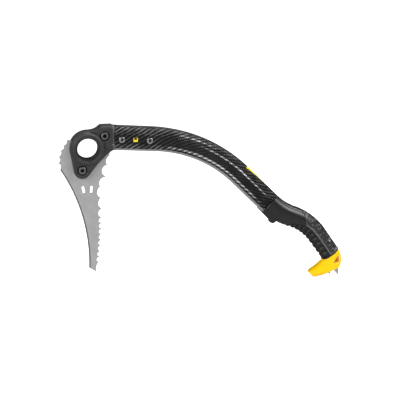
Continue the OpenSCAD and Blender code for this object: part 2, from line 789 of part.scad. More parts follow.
module finger_rest() color("#1d1f21") difference() {
    r = 7;
    wide = grip_w_start / 2 - 0.45 - r;
    start = ahead(grip_start, -rest_back);
    union() {
        intersection() {
            straight_run([start.x, start.y, start[2] - rest_taper], rest_back + rest_end + 4)
                round_outline([[r - rest_bottom, -wide], [r, -wide], [r, wide], [r - rest_bottom, wide]], r);
            plate(far) polygon(concat(
                [grip_point(rest_start, -outside)],
                [for (d = [rest_start, 0]) grip_point(d, -shaft_depth_low / 2 - slip)],
                [for (d = [0, rest_end / 2, rest_end]) grip_point(d, rest_top)],
                [grip_point(rest_end - 2, -outside)]
            ));
        }
        cross_bar(grip_point(nub.x, nub.y), nub_r, -nub_w / 2, nub_w / 2);
    }
    grip_core(0, -9, grip_len + 5);
}

// Pommel
function smooth(list, t) =
    let (n = len(list) - 1, i = min(n - 1, floor(t)), f = t - i,
        p0 = list[max(0, i - 1)], p1 = list[i], p2 = list[i + 1], p3 = list[min(n, i + 2)])
    0.5 * (2 * p1 + (p2 - p0) * f + (2 * p0 - 5 * p1 + 4 * p2 - p3) * f * f
        + (3 * p1 - p0 - 3 * p2 + p3) * f * f * f);
// Sections of the pommel: inner end, outer end as distance past the grip and
// offset from its centreline, then half the thickness
heel = heel_depth;
tip_v = -horn_reach;
pommel_sections = [
    [0, -grip_depth_end / 2 + 0.2, 0, grip_depth_end / 2 - 0.2, grip_w_palm / 2],
    [0.5, -16.6, heel * 0.34, 14.8, grip_w_palm / 2 - 0.3],
    [0.9, -17.2, heel * 0.73, 9.2, 13.2],
    [1.3, -18.2, heel, -1.2, 12.3],
    [1.9, -20.3, heel * 0.935, -11.5, 11.8],
    [2.4, -23.8, heel * 0.85, tip_v * 0.5, 11.4],
    [3, tip_v * 0.62, heel * 0.75, tip_v * 0.665, 11],
    [2.8, tip_v * 0.8, heel * 0.637, tip_v * 0.825, horn_tip_w / 2 + 1.4],
    [3.2, tip_v * 0.95, heel * 0.545, tip_v * 0.935, horn_tip_w / 2 + 0.4],
    [4.3, tip_v, heel * 0.487, tip_v * 0.96, horn_tip_w / 2 - 0.8]
];

function past_point(u, v) = spot(beside(ahead(grip_end, u), v));

function pommel_ring(s, sides) =
    let (a = past_point(s[0], s[1]), b = past_point(s[2], s[3]), mid = (a + b) / 2, half = (b - a) / 2)
    [for (k = [0 : sides - 1])
        let (t = 360 * (k + 0.5) / sides, c = cos(t), n = sin(t),
            q = mid + half * sign(c) * pow(abs(c), 0.74))
        [q.x, s[4] * sign(n) * pow(abs(n), 0.74), q.y]];

// The three-cornered eye for a lanyard
eye_corners = [[10.4, 7], [15, -2.9], [18, 2.9]];
eye_corner_r = 1.8;

module pommel() color("#ffd400") difference() {
    loft([for (i = [0 : 27]) pommel_ring(smooth(pommel_sections, i / 3), 28)]);
    plate(60) round_outline([for (e = eye_corners) past_point(e.x, e.y)], eye_corner_r);
    plug_body(slip, plug_out + slip);
    plate(spike_t + 2 * slip) spike_outline(slip);
}

// The plug that closes the tube and carries the spike
plug_w = neck_w - 2 * tube_wall - 2 * glue;
plug_depth = neck_depth - 2 * tube_wall - 2 * glue;
module plug_body(grow, out) {
    straight_run(ahead(grip_end, -plug_in), plug_in + out)
        square([plug_depth + 2 * grow, plug_w + 2 * grow], center = true);
}

module shaft_plug() color("#9a9da0") difference() {
    plug_body(0, plug_out);
    plate(spike_t + 2 * slip) spike_outline(slip);
    plug_cross_holes();
}

spike_pin_places = [[-15, -3], [-5, -3]];
plug_pin_place = [-24, 0];

module plug_cross_holes() {
    for (e = spike_pin_places) cross_bar(past_point(e.x, e.y), pin_d / 2 + thread_gap, -20, 20);
    cross_bar(past_point(plug_pin_place.x, plug_pin_place.y), pin_d / 2 + thread_gap, -20, 20);
}

module plug_pin() color("#8d9093")
    cross_bar(past_point(plug_pin_place.x, plug_pin_place.y), pin_d / 2,
        -plug_w / 2, plug_w / 2);

module spike_pins() color("#8d9093") for (e = spike_pin_places)
    cross_bar(past_point(e.x, e.y), pin_d / 2, -plug_w / 2 + 0.5, plug_w / 2 - 0.5);

// Outline of the spike plate; grow widens it for the slot that holds it
module spike_outline(grow) {
    polygon([
        past_point(-20 - grow, -6 - grow),
        past_point(-20 - grow, grow),
        past_point(5, grow),
        past_point(8, -4 + grow),
        past_point(19, -8.6 + grow),
        past_point(24.6, -1.4 + grow),
        past_point(29.2 + grow, 0.6 + grow),
        past_point(42, -10.4 + grow),
        past_point(29.6, -11.4 - grow),
        past_point(27, -16 + grow),
        past_point(32.2, -20.6),
        past_point(26, -22.6 - grow),
        past_point(13, -14 - grow),
        past_point(5, -6 - grow)
    ]);
}

module spike() color("#b4b5b7") difference() {
    plate(spike_t) spike_outline(0);
    for (e = spike_pin_places) cross_bar(past_point(e.x, e.y), pin_d / 2 + thread_gap, -20, 20);
}

head();
pick();
pick_bolt_upper();
pick_bolt_lower();
pick_nut_upper();
pick_nut_lower();
shaft_collar();
shaft_tube();
shaft_screw_front();
shaft_screw_rear();
sleeve_nut_front();
sleeve_nut_rear();
id_tag();
finger_rest();
grip_sleeve();
grip_back_panel();
finger_pad();
grip_end_ring();
shaft_plug();
plug_pin();
spike();
spike_pins();
pommel();
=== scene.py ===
# %% [markdown]
# # An ice climbing tool, dressed for the studio
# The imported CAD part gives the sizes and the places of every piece. This script loads it, keeps
# the nodes whose shape is right, lays smoother or finer pieces over the others, and gives each
# one a procedural material. Lengths are written in millimetres, as on a drawing, and turned to
# metres in one place.

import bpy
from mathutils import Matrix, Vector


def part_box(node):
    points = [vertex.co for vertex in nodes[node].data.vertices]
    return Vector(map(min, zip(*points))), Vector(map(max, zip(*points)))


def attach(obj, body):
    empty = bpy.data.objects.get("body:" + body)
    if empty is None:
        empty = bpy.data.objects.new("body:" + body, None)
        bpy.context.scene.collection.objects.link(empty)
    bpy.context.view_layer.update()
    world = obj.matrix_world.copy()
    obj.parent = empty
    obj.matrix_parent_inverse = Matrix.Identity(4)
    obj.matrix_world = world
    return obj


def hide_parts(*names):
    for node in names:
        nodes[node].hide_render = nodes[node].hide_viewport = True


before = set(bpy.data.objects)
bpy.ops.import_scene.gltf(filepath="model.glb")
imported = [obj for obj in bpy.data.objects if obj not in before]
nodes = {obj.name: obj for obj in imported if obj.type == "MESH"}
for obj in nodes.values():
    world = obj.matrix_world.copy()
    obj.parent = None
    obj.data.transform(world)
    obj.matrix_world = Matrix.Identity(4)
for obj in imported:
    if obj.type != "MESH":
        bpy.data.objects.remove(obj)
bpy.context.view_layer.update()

import math

import bmesh
import bpy
import numpy as np
from mathutils import Vector

MM = 0.001
RAD = math.pi / 180
print("nodes:", len(nodes))

# %% [markdown]
# ## Two small helpers
# Colours are written as sRGB hex, the way a colour picker shows them, and Blender's sockets want
# linear light, so one function turns them. The other adds a node to any tree, a material's or a
# geometry one, with its settings and its links, so that a tree reads as a list of formulas.

# %% Colour and node helpers
# A Mix node for colours takes them at these two inputs and gives the result at this output
UNDER, OVER, MIXED = 6, 7, 2


def linear(hex_colour):
    """An sRGB hex colour such as "#47494b" as linear RGBA."""
    channels = [int(hex_colour[i:i + 2], 16) / 255 for i in (1, 3, 5)]
    return (*[c / 12.92 if c <= 0.04045 else ((c + 0.055) / 1.055) ** 2.4 for c in channels], 1.0)


def add_node(tree, kind, links=None, into=None, **settings):
    """Adds a node. links maps its inputs to values, to outputs, or to nodes, whose first output
    is meant. into maps its outputs to the inputs that they feed."""
    node = tree.nodes.new(kind)
    for name, value in settings.items():
        setattr(node, name, value)
    for key, value in (links or {}).items():
        source = value.outputs[0] if isinstance(value, bpy.types.Node) else value
        if isinstance(source, bpy.types.NodeSocket):
            tree.links.new(source, node.inputs[key])
        elif isinstance(source, str) and source.startswith("#"):
            node.inputs[key].default_value = linear(source)
        else:
            node.inputs[key].default_value = source
    for key, socket in (into or {}).items():
        tree.links.new(node.outputs[key], socket)
    return node


# %% [markdown]
# ## Camera and studio
# The photograph was taken with a long lens from a little to the left of the tool and a little
# above it. The main light stands to the left and in front, a smaller one to the right lights the
# pommel's end, and a narrow strip over the tool draws the long lights on its rounded edges. The
# rest of the room is dim, which keeps the dark composite dark. Floor and room show the camera a
# white that no lamp has to make.

# %% Camera
CAMERA_AZIMUTH, CAMERA_ELEVATION, CAMERA_DISTANCE = -11.3 * RAD, 14.5 * RAD, 2.7
LENS_MM, SENSOR_MM, SEES_TO = 146.4, 36.0, 100.0
target = Vector((186.6, 0.0, -96.4)) * MM


def toward(azimuth, elevation):
    """The direction from the tool to an azimuth and an elevation; 0, 0 is straight in front."""
    flat = math.cos(elevation)
    return Vector((math.sin(azimuth) * flat, -math.cos(azimuth) * flat, math.sin(elevation)))


direction = toward(CAMERA_AZIMUTH, CAMERA_ELEVATION)
camera_data = bpy.data.cameras.new("camera")
camera_data.sensor_width = SENSOR_MM
camera_data.lens = LENS_MM
camera_data.clip_end = SEES_TO
camera = bpy.data.objects.new("camera", camera_data)
camera.location = target + direction * CAMERA_DISTANCE
camera.rotation_euler = direction.to_track_quat("Z", "Y").to_euler()
bpy.context.scene.collection.objects.link(camera)
bpy.context.scene.camera = camera
bpy.context.scene.view_settings.view_transform = "Standard"
print("camera at", [round(v, 3) for v in camera.location])

# %% Floor
FLOOR_Z, FLOOR_SIZE, FLOOR_ROUGHNESS, FLOOR_GLOW = -242.0 * MM, 40.0, 0.9, 0.93

floor_material = bpy.data.materials.new("pale_studio_floor")
floor_material.use_nodes = True
tree = floor_material.node_tree
shader = tree.nodes["Principled BSDF"]
shader.inputs["Roughness"].default_value = FLOOR_ROUGHNESS
shader.inputs["Emission Color"].default_value = linear("#ffffff")
rays = add_node(tree, "ShaderNodeLightPath").outputs
add_node(tree, "ShaderNodeMix", {0: rays["Is Glossy Ray"], UNDER: "#f0f0f0", OVER: "#b2b2b2"},
         {MIXED: shader.inputs["Base Color"]}, data_type="RGBA")
add_node(tree, "ShaderNodeMath", {0: rays["Is Camera Ray"], 1: FLOOR_GLOW},
         {0: shader.inputs["Emission Strength"]}, operation="MULTIPLY")
bpy.ops.mesh.primitive_plane_add(size=FLOOR_SIZE, location=(0, 0, FLOOR_Z))
floor = bpy.context.object
floor.name = "studio_floor"
floor.data.materials.append(floor_material)
print("floor at", round(FLOOR_Z / MM, 1), "mm")

# %% Room
SEEN_WHITE, MIRRORED_WHITE, ROOM_LIGHT = 1.0, 0.16, 0.05

world = bpy.data.worlds.new("studio")
bpy.context.scene.world = world
world.use_nodes = True
tree = world.node_tree
background = tree.nodes["Background"]
background.inputs["Color"].default_value = linear("#ffffff")
# White for the camera, a softer white in mirrors and glass, and a dim level as a light
rays = add_node(tree, "ShaderNodeLightPath").outputs
mirrored = add_node(tree, "ShaderNodeMath", {
    0: rays["Is Glossy Ray"], 1: rays["Is Transmission Ray"]}, operation="MAXIMUM")
soft = add_node(tree, "ShaderNodeMath", {0: mirrored, 1: MIRRORED_WHITE}, operation="MULTIPLY")
lit = add_node(tree, "ShaderNodeMath", {0: soft, 1: ROOM_LIGHT}, operation="MAXIMUM")
seen = add_node(tree, "ShaderNodeMath", {0: rays["Is Camera Ray"], 1: SEEN_WHITE},
                operation="MULTIPLY")
add_node(tree, "ShaderNodeMath", {0: seen, 1: lit}, {0: background.inputs["Strength"]},
         operation="MAXIMUM")

# %% Lamps


def lamp(name, place, aim, size, power):
    """A soft rectangular lamp at a place, in metres, that looks at a point."""
    data = bpy.data.lights.new(name, "AREA")
    data.shape = "RECTANGLE"
    data.size, data.size_y = size
    data.energy = power
    item = bpy.data.objects.new(name, data)
    item.visible_camera = False
    item.location = place
    item.rotation_euler = (Vector(place) - Vector(aim)).to_track_quat("Z", "Y").to_euler()
    bpy.context.scene.collection.objects.link(item)


# Each with its place, what it looks at, its size in metres and its power in watts
lamp("key", target + toward(-50 * RAD, 25 * RAD) * 2.0, target, (1.2, 1.0), 31)
lamp("overhead_strip", (0.95, -0.02, 0.95), (0.95, -0.02, 0.0), (1.9, 0.2), 16)
lamp("right_box", target + toward(46 * RAD, 31 * RAD) * 2.2, target, (0.75, 0.8), 22)
print("lamps:", [light.name for light in bpy.data.lights])

# %% [markdown]
# ## One surface recipe
# Metals, rubber and moulded plastic differ in colour, gloss and grain, but each is the same
# layering: slow patches that keep the colour from being flat, fine grain of a real size in
# millimetres, and the grain again as roughness and relief. One function builds that, and the
# places that need more, such as a wear line, add it on top.

# %% Surface recipe
# The size of a patch, the noises' detail, how much the grain counts beside the patches, and its
# relief; then between which sums of both the colour and the gloss change
PATCH_MM, PATCH_DETAIL, GRAIN_DETAIL, GRAIN_SHARE, GRAIN_BUMP = 14.0, 3.0, 2.0, 0.6, 0.6
COLOUR_FROM, COLOUR_TO, GLOSS_FROM, GLOSS_TO = 0.55, 1.05, 0.5, 1.1


def surface(name, dark, light, roughness, grain_mm, relief_mm, metallic=0.0, stretch=(1, 1, 1),
            spread=0.12, painted=None, **sockets):
    """A material with patches, grain and relief, and a colour painted on by a stored attribute;
    returns it with its tree, its shader and its colour."""
    material = bpy.data.materials.new(name)
    material.use_nodes = True
    tree = material.node_tree
    shader = tree.nodes["Principled BSDF"]
    shader.inputs["Metallic"].default_value = metallic
    for key, value in sockets.items():
        shader.inputs[key.replace("_", " ")].default_value = value
    place = add_node(tree, "ShaderNodeTexCoord").outputs["Object"]
    drawn = add_node(tree, "ShaderNodeMapping", {"Vector": place, "Scale": stretch})
    patch = add_node(tree, "ShaderNodeTexNoise", {
        "Vector": place, "Scale": 1 / (PATCH_MM * MM), "Detail": PATCH_DETAIL})
    grain = add_node(tree, "ShaderNodeTexNoise", {
        "Vector": drawn, "Scale": 1 / (grain_mm * MM), "Detail": GRAIN_DETAIL})
    both = add_node(tree, "ShaderNodeMath", {0: grain, 1: GRAIN_SHARE, 2: patch},
                    operation="MULTIPLY_ADD")
    share = add_node(tree, "ShaderNodeMapRange", {
        "Value": both, "From Min": COLOUR_FROM, "From Max": COLOUR_TO})
    colour = add_node(tree, "ShaderNodeMix", {0: share, UNDER: dark, OVER: light},
                      data_type="RGBA").outputs[MIXED]
    for attribute, paint in (painted or {}).items():
        where = add_node(tree, "ShaderNodeAttribute", attribute_name=attribute).outputs["Fac"]
        colour = add_node(tree, "ShaderNodeMix", {0: where, UNDER: colour, OVER: paint},
                          data_type="RGBA").outputs[MIXED]
    tree.links.new(colour, shader.inputs["Base Color"])
    add_node(tree, "ShaderNodeMapRange", {
        "Value": both, "From Min": GLOSS_FROM, "From Max": GLOSS_TO,
        "To Min": roughness + spread / 2, "To Max": roughness - spread / 2},
             {0: shader.inputs["Roughness"]})
    add_node(tree, "ShaderNodeBump", {
        "Height": grain, "Strength": GRAIN_BUMP, "Distance": relief_mm * MM},
             {0: shader.inputs["Normal"]})
    return material, tree, shader, colour


# %% [markdown]
# ## Metal finishes
# The head is a forging, blasted and anodised grey, so it is matt and a little grainy, and its
# ridges are rubbed lighter. The pick and the spike are heat-treated steel plate: their flat
# faces are ground bright in one direction, and every cut edge and ground bevel is painted darker, a
# painted shade.
# Bolts and screws are plated and turned, which gives them tight, bright lights.

# %% The forged head
# How pointed a ridge is where the rubbing starts and where it is full, and its full share
RIDGE_FROM, RIDGE_TO, RIDGE_SHARE = 0.52, 0.62, 0.5

# Blasted and anodised: no clear reflection, a soft light on the side that faces the lamp
forged, tree, shader, colour = surface("blasted_anodised_forging", "#2a2a2a", "#393939",
                                       0.5, 0.9, 0.05, metallic=0.25)
ridge = add_node(tree, "ShaderNodeNewGeometry").outputs["Pointiness"]
worn = add_node(tree, "ShaderNodeMapRange", {
    "Value": ridge, "From Min": RIDGE_FROM, "From Max": RIDGE_TO, "To Max": RIDGE_SHARE})
rubbed = add_node(tree, "ShaderNodeMix", {0: worn, UNDER: colour, OVER: "#6a6a6a"},
                  data_type="RGBA").outputs[MIXED]
# The wall of the clip hole is painted dark, a painted shade, as it lies in the collar's shade; it
# is never rubbed
bore_shade = add_node(tree, "ShaderNodeAttribute", attribute_name="bore_shade").outputs["Fac"]
add_node(tree, "ShaderNodeMix", {0: bore_shade, UNDER: rubbed, OVER: "#181818"},
         {MIXED: shader.inputs["Base Color"]}, data_type="RGBA")

# %% Ground steel plate
PICK_T, SPIKE_T = 4.0, 3.0  # thickness in mm
SCRATCHED_ALONG = (1, 1, 0.08)
# How far inside a face the painted shade on the cut edge starts and where it is full, in mm, and
# how dark it is
EDGE_FROM_MM, EDGE_TO_MM, EDGE_SHADE_SHARE = 0.02, 0.06, 0.85


def ground_plate(name, plate_t):
    """Ground steel plate: satin faces with fine scratches along it, and a painted shade on its cut
    edges.
    """
    material, tree, shader, colour = surface(name, "#bababa", "#c6c6c6", 0.42, 0.7, 0.012,
                                             metallic=0.7, spread=0.03, stretch=SCRATCHED_ALONG)
    place = add_node(tree, "ShaderNodeTexCoord").outputs["Object"]
    depth = add_node(tree, "ShaderNodeSeparateXYZ", {0: place}).outputs["Y"]
    off = add_node(tree, "ShaderNodeMath", {0: depth}, operation="ABSOLUTE")
    edge = add_node(tree, "ShaderNodeMapRange", {
        "Value": off, "From Min": (plate_t / 2 - EDGE_FROM_MM) * MM,
        "From Max": (plate_t / 2 - EDGE_TO_MM) * MM, "To Max": EDGE_SHADE_SHARE})
    # Painted shade on the cut edges
    add_node(tree, "ShaderNodeMix", {0: edge, UNDER: colour, OVER: "#565656"},
             {MIXED: shader.inputs["Base Color"]}, data_type="RGBA")
    return material


pick_steel = ground_plate("ground_pick_steel", PICK_T)
spike_steel = ground_plate("ground_spike_steel", SPIKE_T)

# %% Turned and plated metals
# Zinc-plated bolts are grey and fairly bright, stainless screws brighter; in both the hex socket is
# painted dark, a painted shade
bolt_steel = surface("plated_bolt_steel", "#7e7e7e", "#949494", 0.3, 0.5, 0.01, metallic=1.0,
                     painted={"socket": "#1a1a1a"})[0]
screw_steel = surface("turned_stainless_steel", "#a0a0a0", "#b8b8b8", 0.24, 0.4, 0.01,
                      metallic=1.0, painted={"socket": "#383838"})[0]
nut_steel = surface("plated_nut_steel", "#767676", "#8e8e8e", 0.36, 0.5, 0.012, metallic=1.0)[0]
# Bare alloy: the collar is turned to a satin, the plug only sawn
collar_alloy = surface("satin_alloy_collar", "#6e6e6e", "#828282", 0.34, 0.4, 0.01,
                       metallic=0.9)[0]
plug_alloy = surface("sawn_plug_alloy", "#8e8e8e", "#a6a6a6", 0.45, 0.6, 0.02, metallic=0.9)[0]
metals = (forged, pick_steel, spike_steel, bolt_steel, screw_steel, nut_steel, collar_alloy,
          plug_alloy)
print("metals:", [m.name for m in metals])

# %% [markdown]
# ## Rubber and plastic finishes
# The grip is moulded rubber in three parts that shine differently: a smooth sleeve with a broad
# light, a palm panel with a moulded grain, and matt finger ribs. The pommel is glossy moulded
# nylon in a warm yellow, and the finger rest the same in black.

# %% Rubber and plastics
# How far the painted highlight on the bead lies from a part's edge, and half its width
BEAD_HIGHLIGHT_MM, BEAD_HIGHLIGHT_HALF_MM = 1.2, 0.5
EYE_GLOW = 0.06

# Smooth rubber: dark grey with a wide soft light
sleeve_rubber = surface("smooth_moulded_rubber", "#09090a", "#101011", 0.33, 0.5, 0.015,
                        Specular_IOR_Level=0.6)[0]
# Palm rubber: the same compound out of a grained mould
palm_rubber, tree, shader, colour = surface("grained_palm_rubber", "#0b0b0c", "#161617",
                                            0.33, 0.8, 0.03, spread=0.14, Specular_IOR_Level=0.9)
# A thin painted highlight follows the bead along its seams
rim = add_node(tree, "ShaderNodeAttribute", attribute_name="from_edge").outputs["Fac"]
bead = add_node(tree, "ShaderNodeMath", {0: rim, 1: BEAD_HIGHLIGHT_MM, 2: BEAD_HIGHLIGHT_HALF_MM},
                operation="COMPARE")
add_node(tree, "ShaderNodeMix", {0: bead, UNDER: colour, OVER: "#5c5c5c"},
         {MIXED: shader.inputs["Base Color"]}, data_type="RGBA")
# Finger rubber: softer compound, nearly matt
finger_rubber = surface("matt_finger_rubber", "#101011", "#1a1a1b", 0.5, 0.6, 0.05,
                        Specular_IOR_Level=0.4)[0]
# Black nylon: harder and a little glossier than the finger rubber
black_nylon = surface("moulded_black_nylon", "#101011", "#19191a", 0.42, 0.6, 0.03)[0]
# Yellow nylon: saturated and glossy
yellow_nylon, tree, shader, colour = surface(
    "glossy_yellow_nylon", "#ffc200", "#ffd200", 0.3, 1.6, 0.02, spread=0.08,
    painted={"eye_wall": "#fad25a"}, Specular_IOR_Level=0.2)
# The nylon lets some light through; in place of that the wall of its eye is painted a lighter
# yellow and made to glow orange, painted light
shader.inputs["Emission Color"].default_value = linear("#ffa028")
eye_wall = add_node(tree, "ShaderNodeAttribute", attribute_name="eye_wall").outputs["Fac"]
add_node(tree, "ShaderNodeMath", {0: eye_wall, 1: EYE_GLOW},
         {0: shader.inputs["Emission Strength"]}, operation="MULTIPLY")
plastics = (sleeve_rubber, palm_rubber, finger_rubber, black_nylon, yellow_nylon)
print("plastics:", [m.name for m in plastics])

# %% [markdown]
# ## Building surfaces in millimetres
# Most of this tool is a section swept along a bent line. A grid of points, one row per station,
# is easy to compute and gives clean quads. One function joins such a grid to an inner one as a
# closed shell, one caps a solid tube, and one makes a mesh of points and faces. One runs
# modifiers or a geometry tree on a mesh and keeps what they leave, because the export wants plain
# meshes, and one puts the finished mesh on the tool's body.

# %% Points to pieces
# Points closer than this are one point, and edges shorter than this aren't edges, in mm
MERGE_MM, SLIVER_MM = 0.002, 0.001


def angles_round(count):
    """Evenly spaced angles all the way round, half a step off the top."""
    return 2 * math.pi * (np.arange(count) + 0.5) / count


def closed_shell(outer, inner, wrap):
    """A closed solid between two grids of points; wrap joins the last line of each to the first."""
    rows, lines = outer.shape[:2]
    verts = np.concatenate([outer.reshape(-1, 3), inner.reshape(-1, 3)])
    skip = rows * lines
    faces = []
    for i in range(rows - 1):
        for k in range(lines if wrap else lines - 1):
            a, b = i * lines + k, i * lines + (k + 1) % lines
            faces.append((a, a + lines, b + lines, b))
            faces.append((a + skip, b + skip, b + lines + skip, a + lines + skip))
    for k in range(lines if wrap else lines - 1):
        for row in (0, (rows - 1) * lines):
            a, b = row + k, row + (k + 1) % lines
            faces.append((a, b, b + skip, a + skip))
    if not wrap:
        for i in range(rows - 1):
            for k in (0, lines - 1):
                a, b = i * lines + k, (i + 1) * lines + k
                faces.append((a, b, b + skip, a + skip))
    return verts, faces


def capped_tube(rings):
    """A solid through rings of equally many points, closed at both ends."""
    count, sides = rings.shape[:2]
    faces = []
    for i in range(count - 1):
        for k in range(sides):
            a, b = i * sides + k, i * sides + (k + 1) % sides
            faces.append((a, a + sides, b + sides, b))
    faces.append(tuple(range(sides)))
    faces.append(tuple((count - 1) * sides + k for k in reversed(range(sides))))
    return rings.reshape(-1, 3), faces


def new_mesh(name, verts, faces, attributes=None, uv=None):
    """A mesh with outward normals from points in millimetres, with values stored at its points."""
    mesh = bpy.data.meshes.new(name)
    mesh.from_pydata(np.asarray(verts) * MM, [], faces)
    for key, values in (attributes or {}).items():
        values = np.asarray(values, dtype=float)
        kind, field = ("FLOAT_VECTOR", "vector") if values.ndim == 2 else ("FLOAT", "value")
        mesh.attributes.new(key, kind, "POINT").data.foreach_set(field, values.ravel())
    if uv is not None:
        layer = mesh.uv_layers.new(name="along_and_around")
        corner = np.empty(len(mesh.loops), dtype=int)
        mesh.loops.foreach_get("vertex_index", corner)
        layer.data.foreach_set("uv", np.asarray(uv)[corner].ravel())
    bm = bmesh.new()
    bm.from_mesh(mesh)
    bmesh.ops.remove_doubles(bm, verts=bm.verts, dist=MERGE_MM * MM)
    bmesh.ops.dissolve_degenerate(bm, edges=bm.edges, dist=SLIVER_MM * MM)
    bmesh.ops.recalc_face_normals(bm, faces=bm.faces)
    bm.to_mesh(mesh)
    bm.free()
    return mesh


def finish_piece(name, mesh, material, replaced, smooth=True):
    """Puts a mesh in the scene as a piece that rides on the tool's one body."""
    mesh.materials.clear()
    mesh.materials.append(material)
    if smooth:
        mesh.polygons.foreach_set("use_smooth", [True] * len(mesh.polygons))
    item = bpy.data.objects.new(name, mesh)
    bpy.context.scene.collection.objects.link(item)
    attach(item, "root")
    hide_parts(*replaced)
    triangles = sum(len(p.vertices) - 2 for p in mesh.polygons)
    print(name, len(mesh.vertices), "points,", triangles, "triangles")


def applied(mesh, modifiers, name, sizes=None):
    """The plain mesh that modifiers leave, each given as its kind and its settings. sizes are
    values for the named inputs of a geometry tree."""
    item = bpy.data.objects.new(name + "_source", mesh)
    bpy.context.scene.collection.objects.link(item)
    for kind, settings in modifiers:
        modifier = item.modifiers.new(kind.lower(), kind)
        for key, value in settings.items():
            setattr(modifier, key, value)
        for socket in modifier.node_group.interface.items_tree if sizes else ():
            if socket.in_out == "INPUT" and socket.name in sizes:
                modifier[socket.identifier] = sizes[socket.name]
    bpy.context.view_layer.update()
    depsgraph = bpy.context.evaluated_depsgraph_get()
    result = bpy.data.meshes.new_from_object(item.evaluated_get(depsgraph))
    result.name = name
    bpy.data.objects.remove(item)
    return result


# %% [markdown]
# ## The line of the shaft and the grip
# The shaft's top and bottom edges are straight, then an arc, then straight again, and they come
# closer together towards the grip. The grip's centre line bends back and then forwards. These are
# the same sizes as in the CAD source. A pose is an x, a z and a heading in the tool's middle
# plane, and three functions carry it along, sideways and round a bend.

# %% Poses along the tool


def ahead(p, run):
    """The pose further on in a straight line."""
    return (p[0] + run * math.cos(p[2]), p[1] + run * math.sin(p[2]), p[2])


def beside(p, off):
    """The pose next to this one, to the left of its heading."""
    return (p[0] - off * math.sin(p[2]), p[1] + off * math.cos(p[2]), p[2])


def turned(p, r, angle):
    """The pose after a bend to the right, or to the left with a negative radius and angle."""
    centre, heading = beside(p, -r), p[2] - angle
    return (centre[0] - r * math.sin(heading), centre[1] + r * math.cos(heading), heading)


TUBE_X, TOP_Z, DEPTH_HEAD, DEPTH_LOW = 43.0, 36.3, 40.0, 37.6
TOP_STRAIGHT, TOP_R, TOP_BEND, LOW_STRAIGHT = 64.0, 260.0, 40.6 * RAD, 67.0
BOTTOM_R, BOTTOM_TILT = 200.0, 4.1 * RAD
top_start = (TUBE_X, TOP_Z, -4.8 * RAD)
top_bend_start = ahead(top_start, TOP_STRAIGHT)
top_bend_end = turned(top_bend_start, TOP_R, TOP_BEND)
top_end = ahead(top_bend_end, LOW_STRAIGHT)
bottom_end = beside(top_end, -DEPTH_LOW)
bottom_start = (TUBE_X, TOP_Z - DEPTH_HEAD, -BOTTOM_TILT)
bottom_bend = -top_end[2] - BOTTOM_TILT
reach = (bottom_end[0] - bottom_start[0], bottom_end[1] - bottom_start[1])
meet = ((reach[0] * math.sin(top_end[2]) - reach[1] * math.cos(top_end[2]))
        / math.sin(top_end[2] + BOTTOM_TILT))
bottom_straight = meet - BOTTOM_R * math.tan(bottom_bend / 2)
bottom_bend_start = ahead(bottom_start, bottom_straight)
bottom_bend_end = turned(bottom_bend_start, BOTTOM_R, bottom_bend)
bottom_tail = math.dist(bottom_bend_end[:2], bottom_end[:2])


def edge_points(part, share):
    """The top and bottom edge points at a share of one part: straight, bend or tail."""
    if part == "straight":
        return ahead(top_start, TOP_STRAIGHT * share), ahead(bottom_start, bottom_straight * share)
    if part == "bend":
        return (turned(top_bend_start, TOP_R, TOP_BEND * share),
                turned(bottom_bend_start, BOTTOM_R, bottom_bend * share))
    return ahead(top_bend_end, LOW_STRAIGHT * share), ahead(bottom_bend_end, bottom_tail * share)


GRIP_RECURVE_R, GRIP_RECURVE, GRIP_DROOP_R, GRIP_DROOP = 110.0, 24.8 * RAD, 96.0, 34.6 * RAD
GRIP_TAIL = 40.0
grip_start = beside(top_end, -DEPTH_LOW / 2)
recurve_end = turned(grip_start, -GRIP_RECURVE_R, -GRIP_RECURVE)
droop_end = turned(recurve_end, GRIP_DROOP_R, GRIP_DROOP)
grip_end = ahead(droop_end, GRIP_TAIL)
recurve_len, droop_len = GRIP_RECURVE_R * GRIP_RECURVE, GRIP_DROOP_R * GRIP_DROOP
grip_len = recurve_len + droop_len + GRIP_TAIL


def grip_pose(d):
    """The pose on the grip's centre line, at a distance from where the grip starts."""
    if d < 0:
        return ahead(grip_start, d)
    if d <= recurve_len:
        return turned(grip_start, -GRIP_RECURVE_R, -d / recurve_len * GRIP_RECURVE)
    if d <= recurve_len + droop_len:
        return turned(recurve_end, GRIP_DROOP_R, (d - recurve_len) / droop_len * GRIP_DROOP)
    return ahead(droop_end, d - recurve_len - droop_len)


print("grip", round(grip_len, 1), "mm long, from", [round(v, 1) for v in grip_start[:2]])

# %% [markdown]
# ## Woven composite
# The shaft is carbon cloth in clear resin. Its tows run along and around the tube, each passing
# over two and under two, which draws slanting ribs along it. A tow that lies across the light
# shows bright and one that lies along it almost black, and this sheen is painted into the colour
# as a painted highlight. The pattern reads a map of real distances along and around the tube, so
# it follows the bend. An image could be wrapped round instead, but formulas stay sharp at every
# distance and need no file.

# %% Cloth: the twill
# The width of a tow as it is counted along and around the tube
TOW_ALONG_MM, TOW_AROUND_MM = 2.4, 1.6
# How often a tow wanders in a metre, and how far, in tows
WANDER_PER_M, WANDER_TOWS = 45.0, 1.6
TWILL_STEPS, TWILL_OVER, TOW_ROUND = 4.0, 1.5, 0.9
TOW_RELIEF_MM, RELIEF_STRENGTH = 0.45, 0.7

